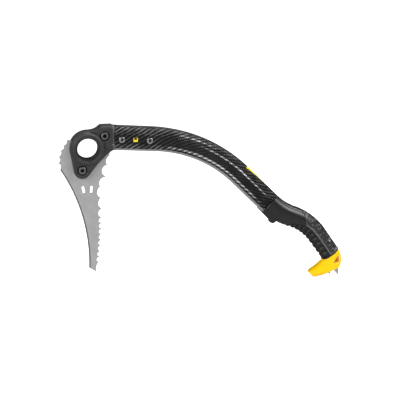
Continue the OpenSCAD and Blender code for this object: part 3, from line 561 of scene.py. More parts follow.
woven = bpy.data.materials.new("woven_composite")
woven.use_nodes = True
tree = woven.node_tree
shader = tree.nodes["Principled BSDF"]
for key, value in (("Roughness", 0.34), ("Specular IOR Level", 0.2), ("Coat Weight", 0.08),
                   ("Coat Roughness", 0.1)):
    shader.inputs[key].default_value = value
uv = add_node(tree, "ShaderNodeUVMap", uv_map="along_and_around")
wander = add_node(tree, "ShaderNodeTexNoise", {"Vector": uv, "Scale": WANDER_PER_M, "Detail": 1.0})
shift = add_node(tree, "ShaderNodeMath", {0: wander, 1: WANDER_TOWS, 2: -WANDER_TOWS / 2},
                 operation="MULTIPLY_ADD")
split = add_node(tree, "ShaderNodeSeparateXYZ", {0: uv}).outputs
along = add_node(tree, "ShaderNodeMath", {0: split[0], 1: 1 / (TOW_ALONG_MM * MM), 2: shift},
                 operation="MULTIPLY_ADD")
around = add_node(tree, "ShaderNodeMath", {0: split[1], 1: 1 / (TOW_AROUND_MM * MM)},
                  operation="MULTIPLY")
counts, humps = [], []
for line in (along, around):
    counts.append(add_node(tree, "ShaderNodeMath", {0: line}, operation="FLOOR"))
    part = add_node(tree, "ShaderNodeMath", {0: line}, operation="FRACT")
    phase = add_node(tree, "ShaderNodeMath", {0: part, 1: math.pi}, operation="MULTIPLY")
    wave = add_node(tree, "ShaderNodeMath", {0: phase}, operation="SINE")
    humps.append(add_node(tree, "ShaderNodeMath", {0: wave, 1: TOW_ROUND}, operation="POWER"))
# A tow that goes around lies on top for two steps in four, one step later in each row
step = add_node(tree, "ShaderNodeMath", {0: counts[0], 1: counts[1]}, operation="SUBTRACT")
turn = add_node(tree, "ShaderNodeMath", {0: step, 1: TWILL_STEPS}, operation="FLOORED_MODULO")
over = add_node(tree, "ShaderNodeMath", {0: turn, 1: TWILL_OVER}, operation="LESS_THAN")
height = add_node(tree, "ShaderNodeMix", {"Factor": over, "A": humps[1], "B": humps[0]})
add_node(tree, "ShaderNodeBump", {
    "Height": height, "Strength": RELIEF_STRENGTH, "Distance": TOW_RELIEF_MM * MM},
         {0: shader.inputs["Normal"]})

# %% Cloth: how bright a tow shows
CLOUDS_PER_M = 50.0

clouds = add_node(tree, "ShaderNodeTexNoise", {"Vector": uv, "Scale": CLOUDS_PER_M, "Detail": 2.0})
web = add_node(tree, "ShaderNodeAttribute", attribute_name="web").outputs["Fac"]
# Each row: what dims the tows, from which value to which, and the brightness there and there
dimming = (
    (clouds, 0.35, 0.7, 0.25, 1.0),  # the resin is cloudy
    (turn, 0.0, 1.0, 1.0, 0.15),  # of the two steps on top, the leading one is painted brighter, a painted highlight
    (web, 0.0, 1.0, 1.0, 0.3),  # the web is painted darker, a painted shade from the lobes
    (split[0], 0.07, 0.17, 1.0, 0.5))  # further along, the tows are dimmer; in metres
bright = [humps[0]]
for source, first, last, at_first, at_last in dimming:
    share = add_node(tree, "ShaderNodeMapRange", {
        "Value": source, "From Min": first, "From Max": last,
        "To Min": at_first, "To Max": at_last})
    bright.append(add_node(tree, "ShaderNodeMath", {0: bright[-1], 1: share}, operation="MULTIPLY"))
lit = add_node(tree, "ShaderNodeMath", {0: over, 1: bright[-1]}, operation="MULTIPLY")

# %% Cloth: colours, painted light and the painted accent
# The painted glints take the high tows first: from a brightness and a strength, to a brightness
# and a strength
GLINT_FROM, GLINT_TO = (0.05, 0.12), (0.4, 2.5)

floor_reflection, painted_glint, stripe = (add_node(tree, "ShaderNodeAttribute", attribute_name=name).outputs["Fac"]
                      for name in ("floor_reflection", "painted_glint", "stripe"))
jagged = add_node(tree, "ShaderNodeMapRange", {
    "Value": bright[2], "From Min": GLINT_FROM[0], "From Max": GLINT_TO[0],
    "To Min": GLINT_FROM[1], "To Max": GLINT_TO[1]})
pale = add_node(tree, "ShaderNodeMath", {0: painted_glint, 1: jagged}, operation="MULTIPLY")
accent = add_node(tree, "ShaderNodeMath", {0: stripe, 1: 0.5}, operation="GREATER_THAN")
# Black resin, then the tows' painted sheen, a painted reflection of the floor along the lower
# corners, painted glints where the cloth turns into the channel, and the accent
colour = "#030303"
for share, paint in ((lit, "#a4a4a4"), (floor_reflection, "#8c8c8c"), (pale, "#f4f4f4"), (accent, "#f2de10")):
    colour = add_node(tree, "ShaderNodeMix", {0: share, UNDER: colour, OVER: paint},
                      data_type="RGBA").outputs[MIXED]
tree.links.new(colour, shader.inputs["Base Color"])
print("tows of", TOW_ALONG_MM, "by", TOW_AROUND_MM, "mm in", len(tree.nodes), "nodes")

# %% [markdown]
# ## The shaft
# The tube is two round lobes joined by a web, so it has a channel along each side. Inside the
# grip it goes on as a plain flattened tube. The section is skinned along the bent line in fine
# steps, with its inner corners a little softened, as cloth laid in a mould can't turn sharply.

# %% Sizes of the shaft
# Width of a lobe and between the channels, heights of the two lobes, and points on a lobe's side
SHAFT_W, CHANNEL_W, TOP_LOBE_H, BOTTOM_LOBE_H, LOBE_POINTS = 24.0, 18.0, 13.0, 11.0, 24
RING_POINTS, FINE_POINTS, KERNEL, SOFTEN_MM = 192, 960, 40, 0.9
GIRTH_MM = 120.0  # once round the section
NECK_HALF, SQUARE, NECK_FROM = (12.45, 8.65), 0.3, 1.5
STRAIGHT_RINGS, BEND_RINGS, NECK_RINGS = 27, 90, 40
# Where the lobes run into the web, below the top edge and above the bottom one, and the
# stretches along the shaft where painted glints lie on these corners and on the top shoulder
UPPER_CORNER, LOWER_CORNER, SHOULDER = 13.2, 8.7, 6.3
UPPER_GLINT, LOWER_GLINT, SHOULDER_GLINT = (142.0, 290.0), (84.0, 290.0), (100.0, 172.0)
GLINT_MM, GLINT_CORE, GLINT_FADE = 1.1, 1.3, 40.0
# The painted reflection of the floor along each lower corner: how high it reaches, its fades, and
# how strong it is
FLOOR_REFLECTION_MM, FLOOR_REFLECTION_FADE, FLOOR_REFLECTION_INSIDE, FLOOR_REFLECTION_SHARE = 4.4, 0.8, 5.5, 0.9
# A coloured accent on the near top edge that tapers off: from, to, inner edge and depths, in mm
STRIPE_START, STRIPE_END, STRIPE_INSIDE = 223.5, 273.0, 6.5
STRIPE_DEPTH, STRIPE_END_DEPTH = 3.3, 0.6

# %% The bone section


def lobe_side(r):
    """One side of a lobe from its crest down to the web, as depth and width."""
    centre = SHAFT_W / 2 - r
    stop = math.pi - math.asin((CHANNEL_W / 2 - centre) / r)
    angles = np.linspace(0, stop, LOBE_POINTS)
    return [(r - r * math.cos(t), centre + r * math.sin(t)) for t in angles]


def bone_section(depth):
    """The bone section as evenly spaced (depth from the top edge, width) points."""
    upper, lower = lobe_side(TOP_LOBE_H / 2), lobe_side(BOTTOM_LOBE_H / 2)
    side = upper + [(depth - u, w) for u, w in lower][::-1]
    loop = np.array(side + [(u, -w) for u, w in side[::-1]])
    closed = np.vstack([loop, loop[:1]])
    length = np.concatenate([[0], np.cumsum(np.linalg.norm(np.diff(closed, axis=0), axis=1))])
    fine = np.linspace(0, length[-1], FINE_POINTS, endpoint=False)
    dense = np.column_stack([np.interp(fine, length, closed[:, i]) for i in range(2)])
    step = length[-1] / FINE_POINTS
    kernel = np.exp(-0.5 * (np.arange(-KERNEL, KERNEL + 1) * step / SOFTEN_MM) ** 2)
    kernel /= kernel.sum()
    wrapped = np.concatenate([dense[-KERNEL:], dense, dense[:KERNEL]])
    smooth = np.column_stack([np.convolve(wrapped[:, i], kernel, "valid") for i in range(2)])
    each = FINE_POINTS // RING_POINTS
    return smooth[each // 2::each][:RING_POINTS]


def bone_ring(top, bottom, walked):
    """The section between a top and a bottom edge point, and the marks painted on its points."""
    high, low = np.array(top[:2]), np.array(bottom[:2])
    depth = np.linalg.norm(low - high)
    down = (low - high) / depth
    u, w = bone_section(depth).T
    spots = np.column_stack([high[0] + down[0] * u, w, high[1] + down[1] * u])
    web = ((u > TOP_LOBE_H) & (u < depth - BOTTOM_LOBE_H)).astype(float)
    # Painted glints along the channel's corners and the top shoulder
    painted_glint = np.zeros(RING_POINTS)
    for line, (start, end) in ((UPPER_CORNER, UPPER_GLINT), (depth - LOWER_CORNER, LOWER_GLINT),
                               (SHOULDER, SHOULDER_GLINT)):
        near = np.clip(GLINT_CORE - np.abs(u - line) / GLINT_MM, 0, 1)
        fade = np.clip(min(walked - start, end - walked) / GLINT_FADE, 0, 1)
        painted_glint = np.maximum(painted_glint, near * fade)
    stripe, along = np.zeros(RING_POINTS), (walked - STRIPE_START) / (STRIPE_END - STRIPE_START)
    if 0 <= along <= 1:
        deep = STRIPE_END_DEPTH + (STRIPE_DEPTH - STRIPE_END_DEPTH) * (1 - along) ** 3
        stripe = ((u < deep) & (w < -STRIPE_INSIDE)).astype(float)
    # A painted reflection of the floor along the lower corners
    floor_reflection = np.clip((u - depth + FLOOR_REFLECTION_MM) / FLOOR_REFLECTION_FADE, 0, FLOOR_REFLECTION_SHARE)
    floor_reflection *= np.clip(np.abs(w) - FLOOR_REFLECTION_INSIDE, 0, 1)
    return spots, web, painted_glint, stripe, floor_reflection


def squircle(a, b, t, power):
    """A point of an oval with half sizes a and b; a lower power makes it squarer."""
    c, s = np.cos(t), np.sin(t)
    return a * np.sign(c) * np.abs(c) ** power, b * np.sign(s) * np.abs(s) ** power


def neck_ring(d):
    """The flattened tube inside the grip."""
    v, y = squircle(*NECK_HALF, angles_round(RING_POINTS), SQUARE)
    spots = [beside(grip_pose(d), off) for off in v]
    return [(spot[0], wide, spot[1]) for spot, wide in zip(spots, y)]


def cloth_map(run):
    """Where a ring's points lie on the cloth, in metres along and around the tube."""
    return [(run * MM, (k + 0.5) / RING_POINTS * GIRTH_MM * MM) for k in range(RING_POINTS)]


# %% Shaft tube
stations = [("straight", s) for s in np.linspace(0, 1, STRAIGHT_RINGS)[:-1]]
stations += [("bend", s) for s in np.linspace(0, 1, BEND_RINGS)[:-1]]
stations += [("tail", s) for s in np.linspace(0, 1, STRAIGHT_RINGS)]
rings, uv, painted, walked, before = [], [], [], 0.0, None
for part, share in stations:
    top, bottom = edge_points(part, float(share))
    middle = ((top[0] + bottom[0]) / 2, (top[1] + bottom[1]) / 2)
    walked += math.dist(middle, before) if before else 0.0
    before = middle
    spots, *marks = bone_ring(top, bottom, walked)
    rings.append(spots)
    painted.append(marks)
    uv += cloth_map(walked)
for d in np.linspace(NECK_FROM, grip_len, NECK_RINGS):
    rings.append(neck_ring(d))
    painted.append(np.zeros((4, RING_POINTS)))
    uv += cloth_map(walked + d)
verts, faces = capped_tube(np.array(rings))
columns = np.array(painted).transpose(1, 0, 2).reshape(4, -1)
shaft_mesh = new_mesh("shaft_skin", verts, faces,
                      dict(zip(("web", "painted_glint", "stripe", "floor_reflection"), columns)), uv)
finish_piece("shaft_skin", shaft_mesh, woven, ["shaft_tube"])
print("shaft walked", round(walked, 1), "mm")

# %% [markdown]
# ## The grip's three rubber parts
# All three lie on one oval surface that follows the bent centre line and swells towards the
# palm. Each is a grid over that surface: lines run along the grip, and every line starts and
# ends on the part's own edge, so that the edges come out as smooth curves. Near its edges a
# part rolls inwards a little, which makes the dark seams between them.

# %% Grip surface
GRIP_DEPTH_END, GRIP_W_START, GRIP_W_PALM, OVAL = 33.0, 25.5, 29.0, 0.86
RING_T, BULGE, BULGE_FROM, BOND = 2.0, 1.8, 112.0, 0.1
# Where the finger pad starts, as distances along the grip and offsets from its centre line
PAD_EDGE = np.array([(34, -24), (41, -14), (50, -9.5), (62, -6), (75, -2.4)], dtype=float)
PANEL_TOP, OUTSIDE, REST_TOP, REST_END, SEAM_V = 53.0, 0.7 * DEPTH_LOW, -10.4, 26.0, -2.4
# At a part's edge the surface rolls in, and a bead with a soft outline runs along it
ROLL_MM, ROLL_DEPTH = 0.8, 0.6
BEAD_MM, BEAD_AT, BEAD_WIDE, RIB_FADE = 0.35, 1.3, 0.55, 2.5
# Round the section, a radian is about this many mm; a part that wraps round has no side edge
MM_A_RADIAN, NO_EDGE = 14.0, 999.0
# Facets show on the flanks and fade towards the back of the hand: a slope, an offset and a floor
FLANK_SLOPE, FLANK_OFFSET, FLANK_LEAST = 1.5, 0.25, 0.08


def half_depth(d):
    """Half the grip's depth at a distance along it."""
    return (DEPTH_LOW + (GRIP_DEPTH_END - DEPTH_LOW) * np.maximum(0, d) / grip_len) / 2


def half_width(d):
    """Half the grip's width, which swells towards the palm."""
    return (GRIP_W_START + (GRIP_W_PALM - GRIP_W_START)
            * np.sin(math.pi / 2 * np.clip(d / recurve_len, 0, 1))) / 2


def on_grip(d, v, y):
    """Points of the grip from distances, offsets and widths; the flanks reach further down."""
    out = np.empty(d.shape + (3,))
    sides = np.clip(np.abs(y) / half_width(d), 0, 1) ** 2
    further = d + BULGE * sides * np.clip((d - BULGE_FROM) / (grip_len - BULGE_FROM), 0, 1) ** 2
    for index in np.ndindex(d.shape):
        pose = beside(grip_pose(further[index]), v[index])
        out[index] = (pose[0], y[index], pose[1])
    return out


def edge_angle(v, d):
    """The angle from the top at which the oval reaches an offset below the centre line."""
    return math.pi - np.arccos(np.clip((-v / half_depth(d)) ** (1 / OVAL), 0, 1))


def rolled(distance):
    """How far a part's surface drops at a distance from its edge, where a bead runs along it."""
    bead = BEAD_MM * np.exp(-((distance - BEAD_AT) / BEAD_WIDE) ** 2)
    return ROLL_DEPTH * (1 - np.clip(distance / ROLL_MM, 0, 1)) ** 2 - bead


def inner_wall(d, t):
    """Points of the grip where it lies on the flattened tube."""
    return on_grip(d, *squircle(NECK_HALF[0] + BOND, NECK_HALF[1] + BOND, t, SQUARE))


def grip_part(name, angle, start, end, pitch, wrap=False):
    """A rubber part: the angles of its lines, and the distances where each line starts and ends."""
    first, last = start.min(), end.max()
    rows = np.linspace(first, last, int((last - first) / pitch))
    d = np.clip(rows[:, None], start[None, :], end[None, :])
    t = angle(d)
    side = NO_EDGE if wrap else np.minimum(t - t[:, :1], t[:, -1:] - t) * MM_A_RADIAN
    ends = np.minimum(d - start, end - d)
    drop = np.maximum(rolled(ends), rolled(side))
    outer = on_grip(d, *squircle(half_depth(d) - drop, half_width(d) - drop, t, OVAL))
    verts, faces = closed_shell(outer, inner_wall(d, t), wrap)
    up = np.array([[(-math.sin(grip_pose(x)[2]), 0, math.cos(grip_pose(x)[2])) for x in row]
                   for row in d])
    lean = np.stack([np.cos(t) / half_depth(d), np.sin(t) / half_width(d)], axis=-1)
    lean /= np.linalg.norm(lean, axis=-1, keepdims=True)
    outward = up * lean[..., :1] + np.array([0, 1, 0]) * lean[..., 1:]
    fade = np.clip(side / RIB_FADE, 0, 1) * np.clip((d - start) / RIB_FADE, 0, 1)
    flank = np.clip(FLANK_SLOPE * np.abs(np.sin(t)) - FLANK_OFFSET, FLANK_LEAST, 1)
    flat = np.zeros(d.size)
    return new_mesh(name, verts, faces, {
        "along": np.concatenate([d.ravel(), d.ravel()]),
        "pull": np.concatenate([(outward * fade[..., None]).reshape(-1, 3), np.zeros((d.size, 3))]),
        "skin": np.concatenate([flank.ravel(), flat]),
        "from_edge": np.concatenate([np.minimum(ends, side).ravel(), flat])})


def pad_start(v):
    """Where the finger part starts, for an offset from the centre line."""
    return np.interp(v, PAD_EDGE[:, 1], PAD_EDGE[:, 0])


def panel_start(v):
    """Where the palm panel starts, on a slanting line over the sleeve."""
    return PAD_EDGE[-1, 0] + (PANEL_TOP - PAD_EDGE[-1, 0]) * (v - SEAM_V) / (OUTSIDE - SEAM_V)


# %% Smooth sleeve
SLEEVE_LINES, SLEEVE_PITCH, SLEEVE_ENDS_NEAR = 168, 0.7, 60.0
t_sleeve = angles_round(SLEEVE_LINES)
v_start = squircle(half_depth(0), 1, t_sleeve, OVAL)[0]
v_end = squircle(half_depth(SLEEVE_ENDS_NEAR), 1, t_sleeve, OVAL)[0]
sleeve_start = np.where(v_start > REST_TOP, 0.0, REST_END)
sleeve_end = np.where(v_end > SEAM_V, panel_start(v_end), pad_start(v_end))
sleeve_mesh = grip_part("grip_sleeve_skin", lambda d: np.broadcast_to(t_sleeve, d.shape),
                        sleeve_start, sleeve_end, SLEEVE_PITCH, wrap=True)
finish_piece("grip_sleeve_skin", sleeve_mesh, sleeve_rubber, ["grip_sleeve"])

# %% [markdown]
# ## Palm panel with moulded facets
# The back of the grip is covered with small flat facets that catch the light one by one. A
# geometry tree makes them: a cell pattern of a real size sets how far each point of the skin
# lies below the surface, and the effect fades out at the panel's edge, where the mould is plain.

# %% Starting and ending a geometry tree


def new_tree(name, inputs):
    """An empty geometry tree with a mesh input and named sizes; returns it with its inputs."""
    tree = bpy.data.node_groups.new(name, "GeometryNodeTree")
    tree.interface.new_socket("Geometry", in_out="INPUT", socket_type="NodeSocketGeometry")
    for key, value in inputs.items():
        kind = "NodeSocketVector" if isinstance(value, tuple) else "NodeSocketFloat"
        item = tree.interface.new_socket(key, in_out="INPUT", socket_type=kind)
        item.default_value = value
    tree.interface.new_socket("Geometry", in_out="OUTPUT", socket_type="NodeSocketGeometry")
    return tree, add_node(tree, "NodeGroupInput").outputs


def end_tree(tree, geometry, material):
    """Ends a tree as the export needs it: real points, and a material on them."""
    real = add_node(tree, "GeometryNodeRealizeInstances", {"Geometry": geometry})
    painted = add_node(tree, "GeometryNodeSetMaterial", {"Geometry": real, "Material": material})
    add_node(tree, "NodeGroupOutput", {"Geometry": painted})
    print(tree.name, "has", len(tree.nodes), "nodes")


# %% A tree that presses facets into a skin
FACET_MM, FACET_DEPTH_MM, FACET_SLOPE, FACET_LEVEL = 8.5, 1.8, 8.0, 0.35
FACET_RANDOM, FACET_FADE_FROM_MM, FACET_FADE_TO_MM = 0.9, 0.6, 3.0
FACET_LEAN = (0.4, 0.5, 0.3)  # below 0.5 the facets lean that way: a little forwards, and up

facet_tree, given = new_tree("moulded_facets", {
    "Facet": FACET_MM * MM, "Depth": FACET_DEPTH_MM * MM, "Fade": FACET_FADE_TO_MM})
tree = facet_tree
place = add_node(tree, "GeometryNodeInputPosition")
per_metre = add_node(tree, "ShaderNodeMath", {0: 1.0, 1: given["Facet"]}, operation="DIVIDE")
cells = add_node(tree, "ShaderNodeTexVoronoi", {
    "Vector": place, "Scale": per_metre, "Randomness": FACET_RANDOM}).outputs
from_middle = add_node(tree, "ShaderNodeVectorMath", {0: place, 1: cells["Position"]},
                       operation="SUBTRACT")
tilt = add_node(tree, "ShaderNodeVectorMath", {0: cells["Color"], 1: FACET_LEAN},
                operation="SUBTRACT")
slope = add_node(tree, "ShaderNodeVectorMath", {0: from_middle, 1: tilt}, operation="DOT_PRODUCT")
steep = add_node(tree, "ShaderNodeMath", {0: slope.outputs["Value"], 1: per_metre},
                 operation="MULTIPLY")
level = add_node(tree, "ShaderNodeMath", {0: steep, 1: FACET_SLOPE, 2: FACET_LEVEL},
                 operation="MULTIPLY_ADD", use_clamp=True)
skin, rim = (add_node(tree, "GeometryNodeInputNamedAttribute", {"Name": name}, data_type="FLOAT")
             for name in ("skin", "from_edge"))
fade = add_node(tree, "ShaderNodeMapRange", {
    "Value": rim, "From Min": FACET_FADE_FROM_MM, "From Max": given["Fade"]})
pressed = level
for share in (given["Depth"], fade, skin, -1.0):
    pressed = add_node(tree, "ShaderNodeMath", {0: pressed, 1: share}, operation="MULTIPLY")
normal = add_node(tree, "GeometryNodeInputNormal")
move = add_node(tree, "ShaderNodeVectorMath", {0: normal, "Scale": pressed}, operation="SCALE")
facets = add_node(tree, "GeometryNodeSetPosition", {"Geometry": given["Geometry"], "Offset": move})
end_tree(tree, facets, palm_rubber)

# %% Palm panel
PANEL_LINES, PANEL_PITCH, PANEL_SEAM_GAP, PANEL_STARTS_NEAR = 112, 0.6, 0.12, 62.0
w_panel = np.linspace(-1, 1, PANEL_LINES)


def panel_angle(d):
    """The panel's lines, fanned over the top of the section between its two seams."""
    return w_panel * edge_angle(SEAM_V + PANEL_SEAM_GAP, d)


t_panel = panel_angle(np.full(PANEL_LINES, PANEL_STARTS_NEAR))
v_panel = squircle(half_depth(PANEL_STARTS_NEAR), 1, t_panel, OVAL)[0]
palm_mesh = grip_part("palm_panel_skin", panel_angle, panel_start(v_panel) + PANEL_SEAM_GAP,
                      np.full(PANEL_LINES, grip_len - RING_T), PANEL_PITCH)
palm_mesh = applied(palm_mesh, [("NODES", {"node_group": facet_tree})], "palm_panel_skin")
finish_piece("palm_panel_skin", palm_mesh, palm_rubber, ["grip_back_panel"])

# %% [markdown]
# ## Finger ribs
# Ten rounded ribs run across the underside so that the fingers don't slip. Their number and
# pitch follow a rule, so a second geometry tree presses the hollows between them: it reads how
# far along the grip each point is and which way is outwards there, both stored with the mesh.

# %% A tree that presses hollows between ribs
RIBS, RIB_PITCH, RIB_H, HOLLOW_ROUND = 10, 10.4, 3.0, 1.4
rib_from = grip_len - RIBS * RIB_PITCH - 1

rib_tree, given = new_tree("finger_ribs", {
    "Pitch": RIB_PITCH, "Height": RIB_H * MM, "First": rib_from})
tree = rib_tree
along = add_node(tree, "GeometryNodeInputNamedAttribute", {"Name": "along"}, data_type="FLOAT")
pull = add_node(tree, "GeometryNodeInputNamedAttribute", {"Name": "pull"},
                data_type="FLOAT_VECTOR")
since = add_node(tree, "ShaderNodeMath", {0: along, 1: given["First"]}, operation="SUBTRACT")
held = add_node(tree, "ShaderNodeMath", {0: since, 1: 0.0}, operation="MAXIMUM")
turns = add_node(tree, "ShaderNodeMath", {0: held, 1: given["Pitch"]}, operation="DIVIDE")
phase = add_node(tree, "ShaderNodeMath", {0: turns, 1: math.pi}, operation="MULTIPLY")
wave = add_node(tree, "ShaderNodeMath", {0: phase}, operation="SINE")
size = add_node(tree, "ShaderNodeMath", {0: wave}, operation="ABSOLUTE")
gap = add_node(tree, "ShaderNodeMath", {0: 1.0, 1: size}, operation="SUBTRACT")
pressed = add_node(tree, "ShaderNodeMath", {0: gap, 1: HOLLOW_ROUND}, operation="POWER")
ribbed = add_node(tree, "ShaderNodeMath", {0: since, 1: 0.0}, operation="GREATER_THAN")
for share in (ribbed, given["Height"], -1.0):
    pressed = add_node(tree, "ShaderNodeMath", {0: pressed, 1: share}, operation="MULTIPLY")
move = add_node(tree, "ShaderNodeVectorMath", {0: pull, "Scale": pressed}, operation="SCALE")
ribs = add_node(tree, "GeometryNodeSetPosition", {"Geometry": given["Geometry"], "Offset": move})
end_tree(tree, ribs, finger_rubber)

# %% Finger pad
PAD_LINES, PAD_PITCH, PAD_STARTS_NEAR = 120, 0.5, 45.0
w_pad = np.linspace(0, 1, PAD_LINES)


def pad_angle(d):
    """The pad's lines, fanned over the underside from one seam to the other."""
    edge = edge_angle(SEAM_V - PANEL_SEAM_GAP, d)
    return edge + w_pad * (2 * math.pi - 2 * edge)


t_pad = pad_angle(np.full(PAD_LINES, PAD_STARTS_NEAR))
v_pad = squircle(half_depth(PAD_STARTS_NEAR), 1, t_pad, OVAL)[0]
pad_mesh = grip_part("finger_pad_skin", pad_angle, pad_start(v_pad) + PANEL_SEAM_GAP,
                     np.full(PAD_LINES, grip_len - RING_T), PAD_PITCH)
pad_mesh = applied(pad_mesh, [("NODES", {"node_group": rib_tree})], "finger_pad_skin")
finish_piece("finger_pad_skin", pad_mesh, finger_rubber, ["finger_pad"])

# %% [markdown]
# ## The ring at the end of the grip
# A thin black lip closes the grip against the pommel. It is the grip's section, squarer and a
# little proud, with a rounded outside.

# %% End ring
LIP_POINTS, LIP_SQUARE = 144, 0.72
# How far along the ring, and how far it stands out of the grip there, in mm
LIP_PROFILE = [(0.0, -0.35), (0.2, 0.05), (0.6, 0.34), (1.0, 0.39), (1.4, 0.34), (1.8, 0.05),
               (2.0, -0.35)]
lip_d = np.array([[grip_len - RING_T + run] * LIP_POINTS for run, grow in LIP_PROFILE])
lip_grow = np.array([[grow] * LIP_POINTS for run, grow in LIP_PROFILE])
lip_t = np.broadcast_to(angles_round(LIP_POINTS), lip_d.shape)
outer = on_grip(lip_d, *squircle(half_depth(lip_d) + lip_grow, half_width(lip_d) + lip_grow,
                                 lip_t, LIP_SQUARE))
verts, faces = closed_shell(outer, inner_wall(lip_d, lip_t), True)
finish_piece("end_ring_skin", new_mesh("end_ring_skin", verts, faces), black_nylon,
             ["grip_end_ring"])

# %% [markdown]
# ## Pommel
# The pommel is one moulding: it starts as the grip's section, turns forwards under the hand and
# runs out into a horn that keeps the hand from sliding off. Sections measured on the tool are
# joined by a smooth curve, the lanyard eye is cut through, and a fine remesh rounds every edge
# as a mould does.

# %% Pommel
HEEL, TIP_V, HORN_TIP_W = 30.8, -49.0, 18.0
# Each row: how far past the grip's end and how far off its line the section starts on the hand's
# side, the same where it ends on the outside, and half its width, in mm
POMMEL_SECTIONS = np.array([
    (0, -GRIP_DEPTH_END / 2 + 0.2, 0, GRIP_DEPTH_END / 2 - 0.2, GRIP_W_PALM / 2),
    (0.5, -16.6, HEEL * 0.34, 14.8, GRIP_W_PALM / 2 - 0.3),
    (0.9, -17.2, HEEL * 0.73, 9.2, 13.2),
    (1.3, -18.2, HEEL, -1.2, 12.3),
    (1.9, -20.3, HEEL * 0.935, -11.5, 11.8),
    (2.4, -23.8, HEEL * 0.85, TIP_V * 0.5, 11.4),
    (3, TIP_V * 0.62, HEEL * 0.75, TIP_V * 0.665, 11),
    (2.8, TIP_V * 0.8, HEEL * 0.637, TIP_V * 0.825, HORN_TIP_W / 2 + 1.4),
    (3.2, TIP_V * 0.95, HEEL * 0.545, TIP_V * 0.935, HORN_TIP_W / 2 + 0.4),
    (4.3, TIP_V, HEEL * 0.487, TIP_V * 0.96, HORN_TIP_W / 2 - 0.8)])
POMMEL_SQUARE, POMMEL_SIDES, STEPS_PER_SECTION = 0.74, 96, 12
EYE_CORNERS, EYE_R, CORNER_POINTS, CUTTER_HALF = [(10.4, 7), (15, -2.9), (18, 2.9)], 1.8, 14, 25
POMMEL_VOXEL, POMMEL_ROUNDS, SMOOTHING = 0.45, 8, 0.5
# The wall of the eye reaches this far from its outline, and fades out over this much, in mm
EYE_WALL, EYE_WALL_FADE, FAR_AWAY = 0.7, 0.4, 999.0


def between(rows, t):
    """A smooth value through the rows of a table."""
    n = len(rows) - 1
    i = min(n - 1, int(t))
    f = t - i
    p0, p1, p2, p3 = rows[max(0, i - 1)], rows[i], rows[i + 1], rows[min(n, i + 2)]
    return 0.5 * (2 * p1 + (p2 - p0) * f + (2 * p0 - 5 * p1 + 4 * p2 - p3) * f ** 2
                  + (3 * p1 - p0 - 3 * p2 + p3) * f ** 3)


def past_point(u, v):
    """A point past the grip's end, as x and z."""
    return np.array(beside(ahead(grip_end, u), v)[:2])


def pommel_ring(t):
    """The pommel's section at a place in the table."""
    inner_u, inner_v, outer_u, outer_v, wide = between(POMMEL_SECTIONS, t)
    a, b = past_point(inner_u, inner_v), past_point(outer_u, outer_v)
    half, y = squircle(1, wide, angles_round(POMMEL_SIDES), POMMEL_SQUARE)
    run = BULGE * (y / wide) ** 2 * max(0.0, 1 - t / 2)
    push = np.array([math.cos(grip_end[2]), math.sin(grip_end[2])])
    spots = (a + b) / 2 + np.outer(half, (b - a) / 2) + np.outer(run, push)
    return np.column_stack([spots[:, 0], y, spots[:, 1]])


def rounded_prism(corners, r, half):
    """Rings of a prism across the tool through a rounded outline given by its corners."""
    outline = []
    for i, corner in enumerate(corners):
        before, after = corners[i - 1], corners[(i + 1) % len(corners)]
        a0 = math.atan2(corner[1] - before[1], corner[0] - before[0]) - math.pi / 2
        a1 = math.atan2(after[1] - corner[1], after[0] - corner[0]) - math.pi / 2
        a1 += 2 * math.pi if a1 < a0 else 0
        outline += [(corner[0] + r * math.cos(t), corner[1] + r * math.sin(t))
                    for t in np.linspace(a0, a1, CORNER_POINTS)]
    return np.array([[(x, y, z) for x, z in outline] for y in (-half, half)])


def rounding(voxel_mm, rounds):
    """The modifiers that skin a solid again in small cubes and relax it, which rounds its edges."""
    return [("REMESH", {"mode": "VOXEL", "voxel_size": voxel_mm * MM, "adaptivity": 0.0}),
            ("SMOOTH", {"factor": SMOOTHING, "iterations": rounds})]


def mesh_spots(mesh):
    """A mesh's points as rows of x, y and z, in metres."""
    spots = np.empty(len(mesh.vertices) * 3)
    mesh.vertices.foreach_get("co", spots)
    return spots.reshape(-1, 3)


def store(mesh, name, values):
    """Stores one value for each point of a mesh, for its material to read."""
    attribute = mesh.attributes.new(name, "FLOAT", "POINT")
    attribute.data.foreach_set("value", values.astype(np.float32))


count = STEPS_PER_SECTION * (len(POMMEL_SECTIONS) - 1)
rings = np.array([pommel_ring(i / STEPS_PER_SECTION) for i in range(count + 1)])
pommel_block = new_mesh("pommel_block", *capped_tube(rings))
eye_spots = [tuple(past_point(*corner)) for corner in EYE_CORNERS]
eye_prism = capped_tube(rounded_prism(eye_spots, EYE_R, CUTTER_HALF))
cutter = bpy.data.objects.new("eye_cutter", new_mesh("eye_cutter", *eye_prism))
bpy.context.scene.collection.objects.link(cutter)
cut = ("BOOLEAN", {"object": cutter, "operation": "DIFFERENCE", "solver": "EXACT"})
pommel_mesh = applied(pommel_block, [cut] + rounding(POMMEL_VOXEL, POMMEL_ROUNDS), "pommel_skin")
bpy.data.objects.remove(cutter)
# Relaxing also swells the heel by a tenth of a millimetre, which is taken back
spots = mesh_spots(pommel_mesh)
spots[:, 0] = np.minimum(spots[:, 0], max(corner[0] for corner in nodes["pommel"].bound_box))
pommel_mesh.vertices.foreach_set("co", spots.ravel())
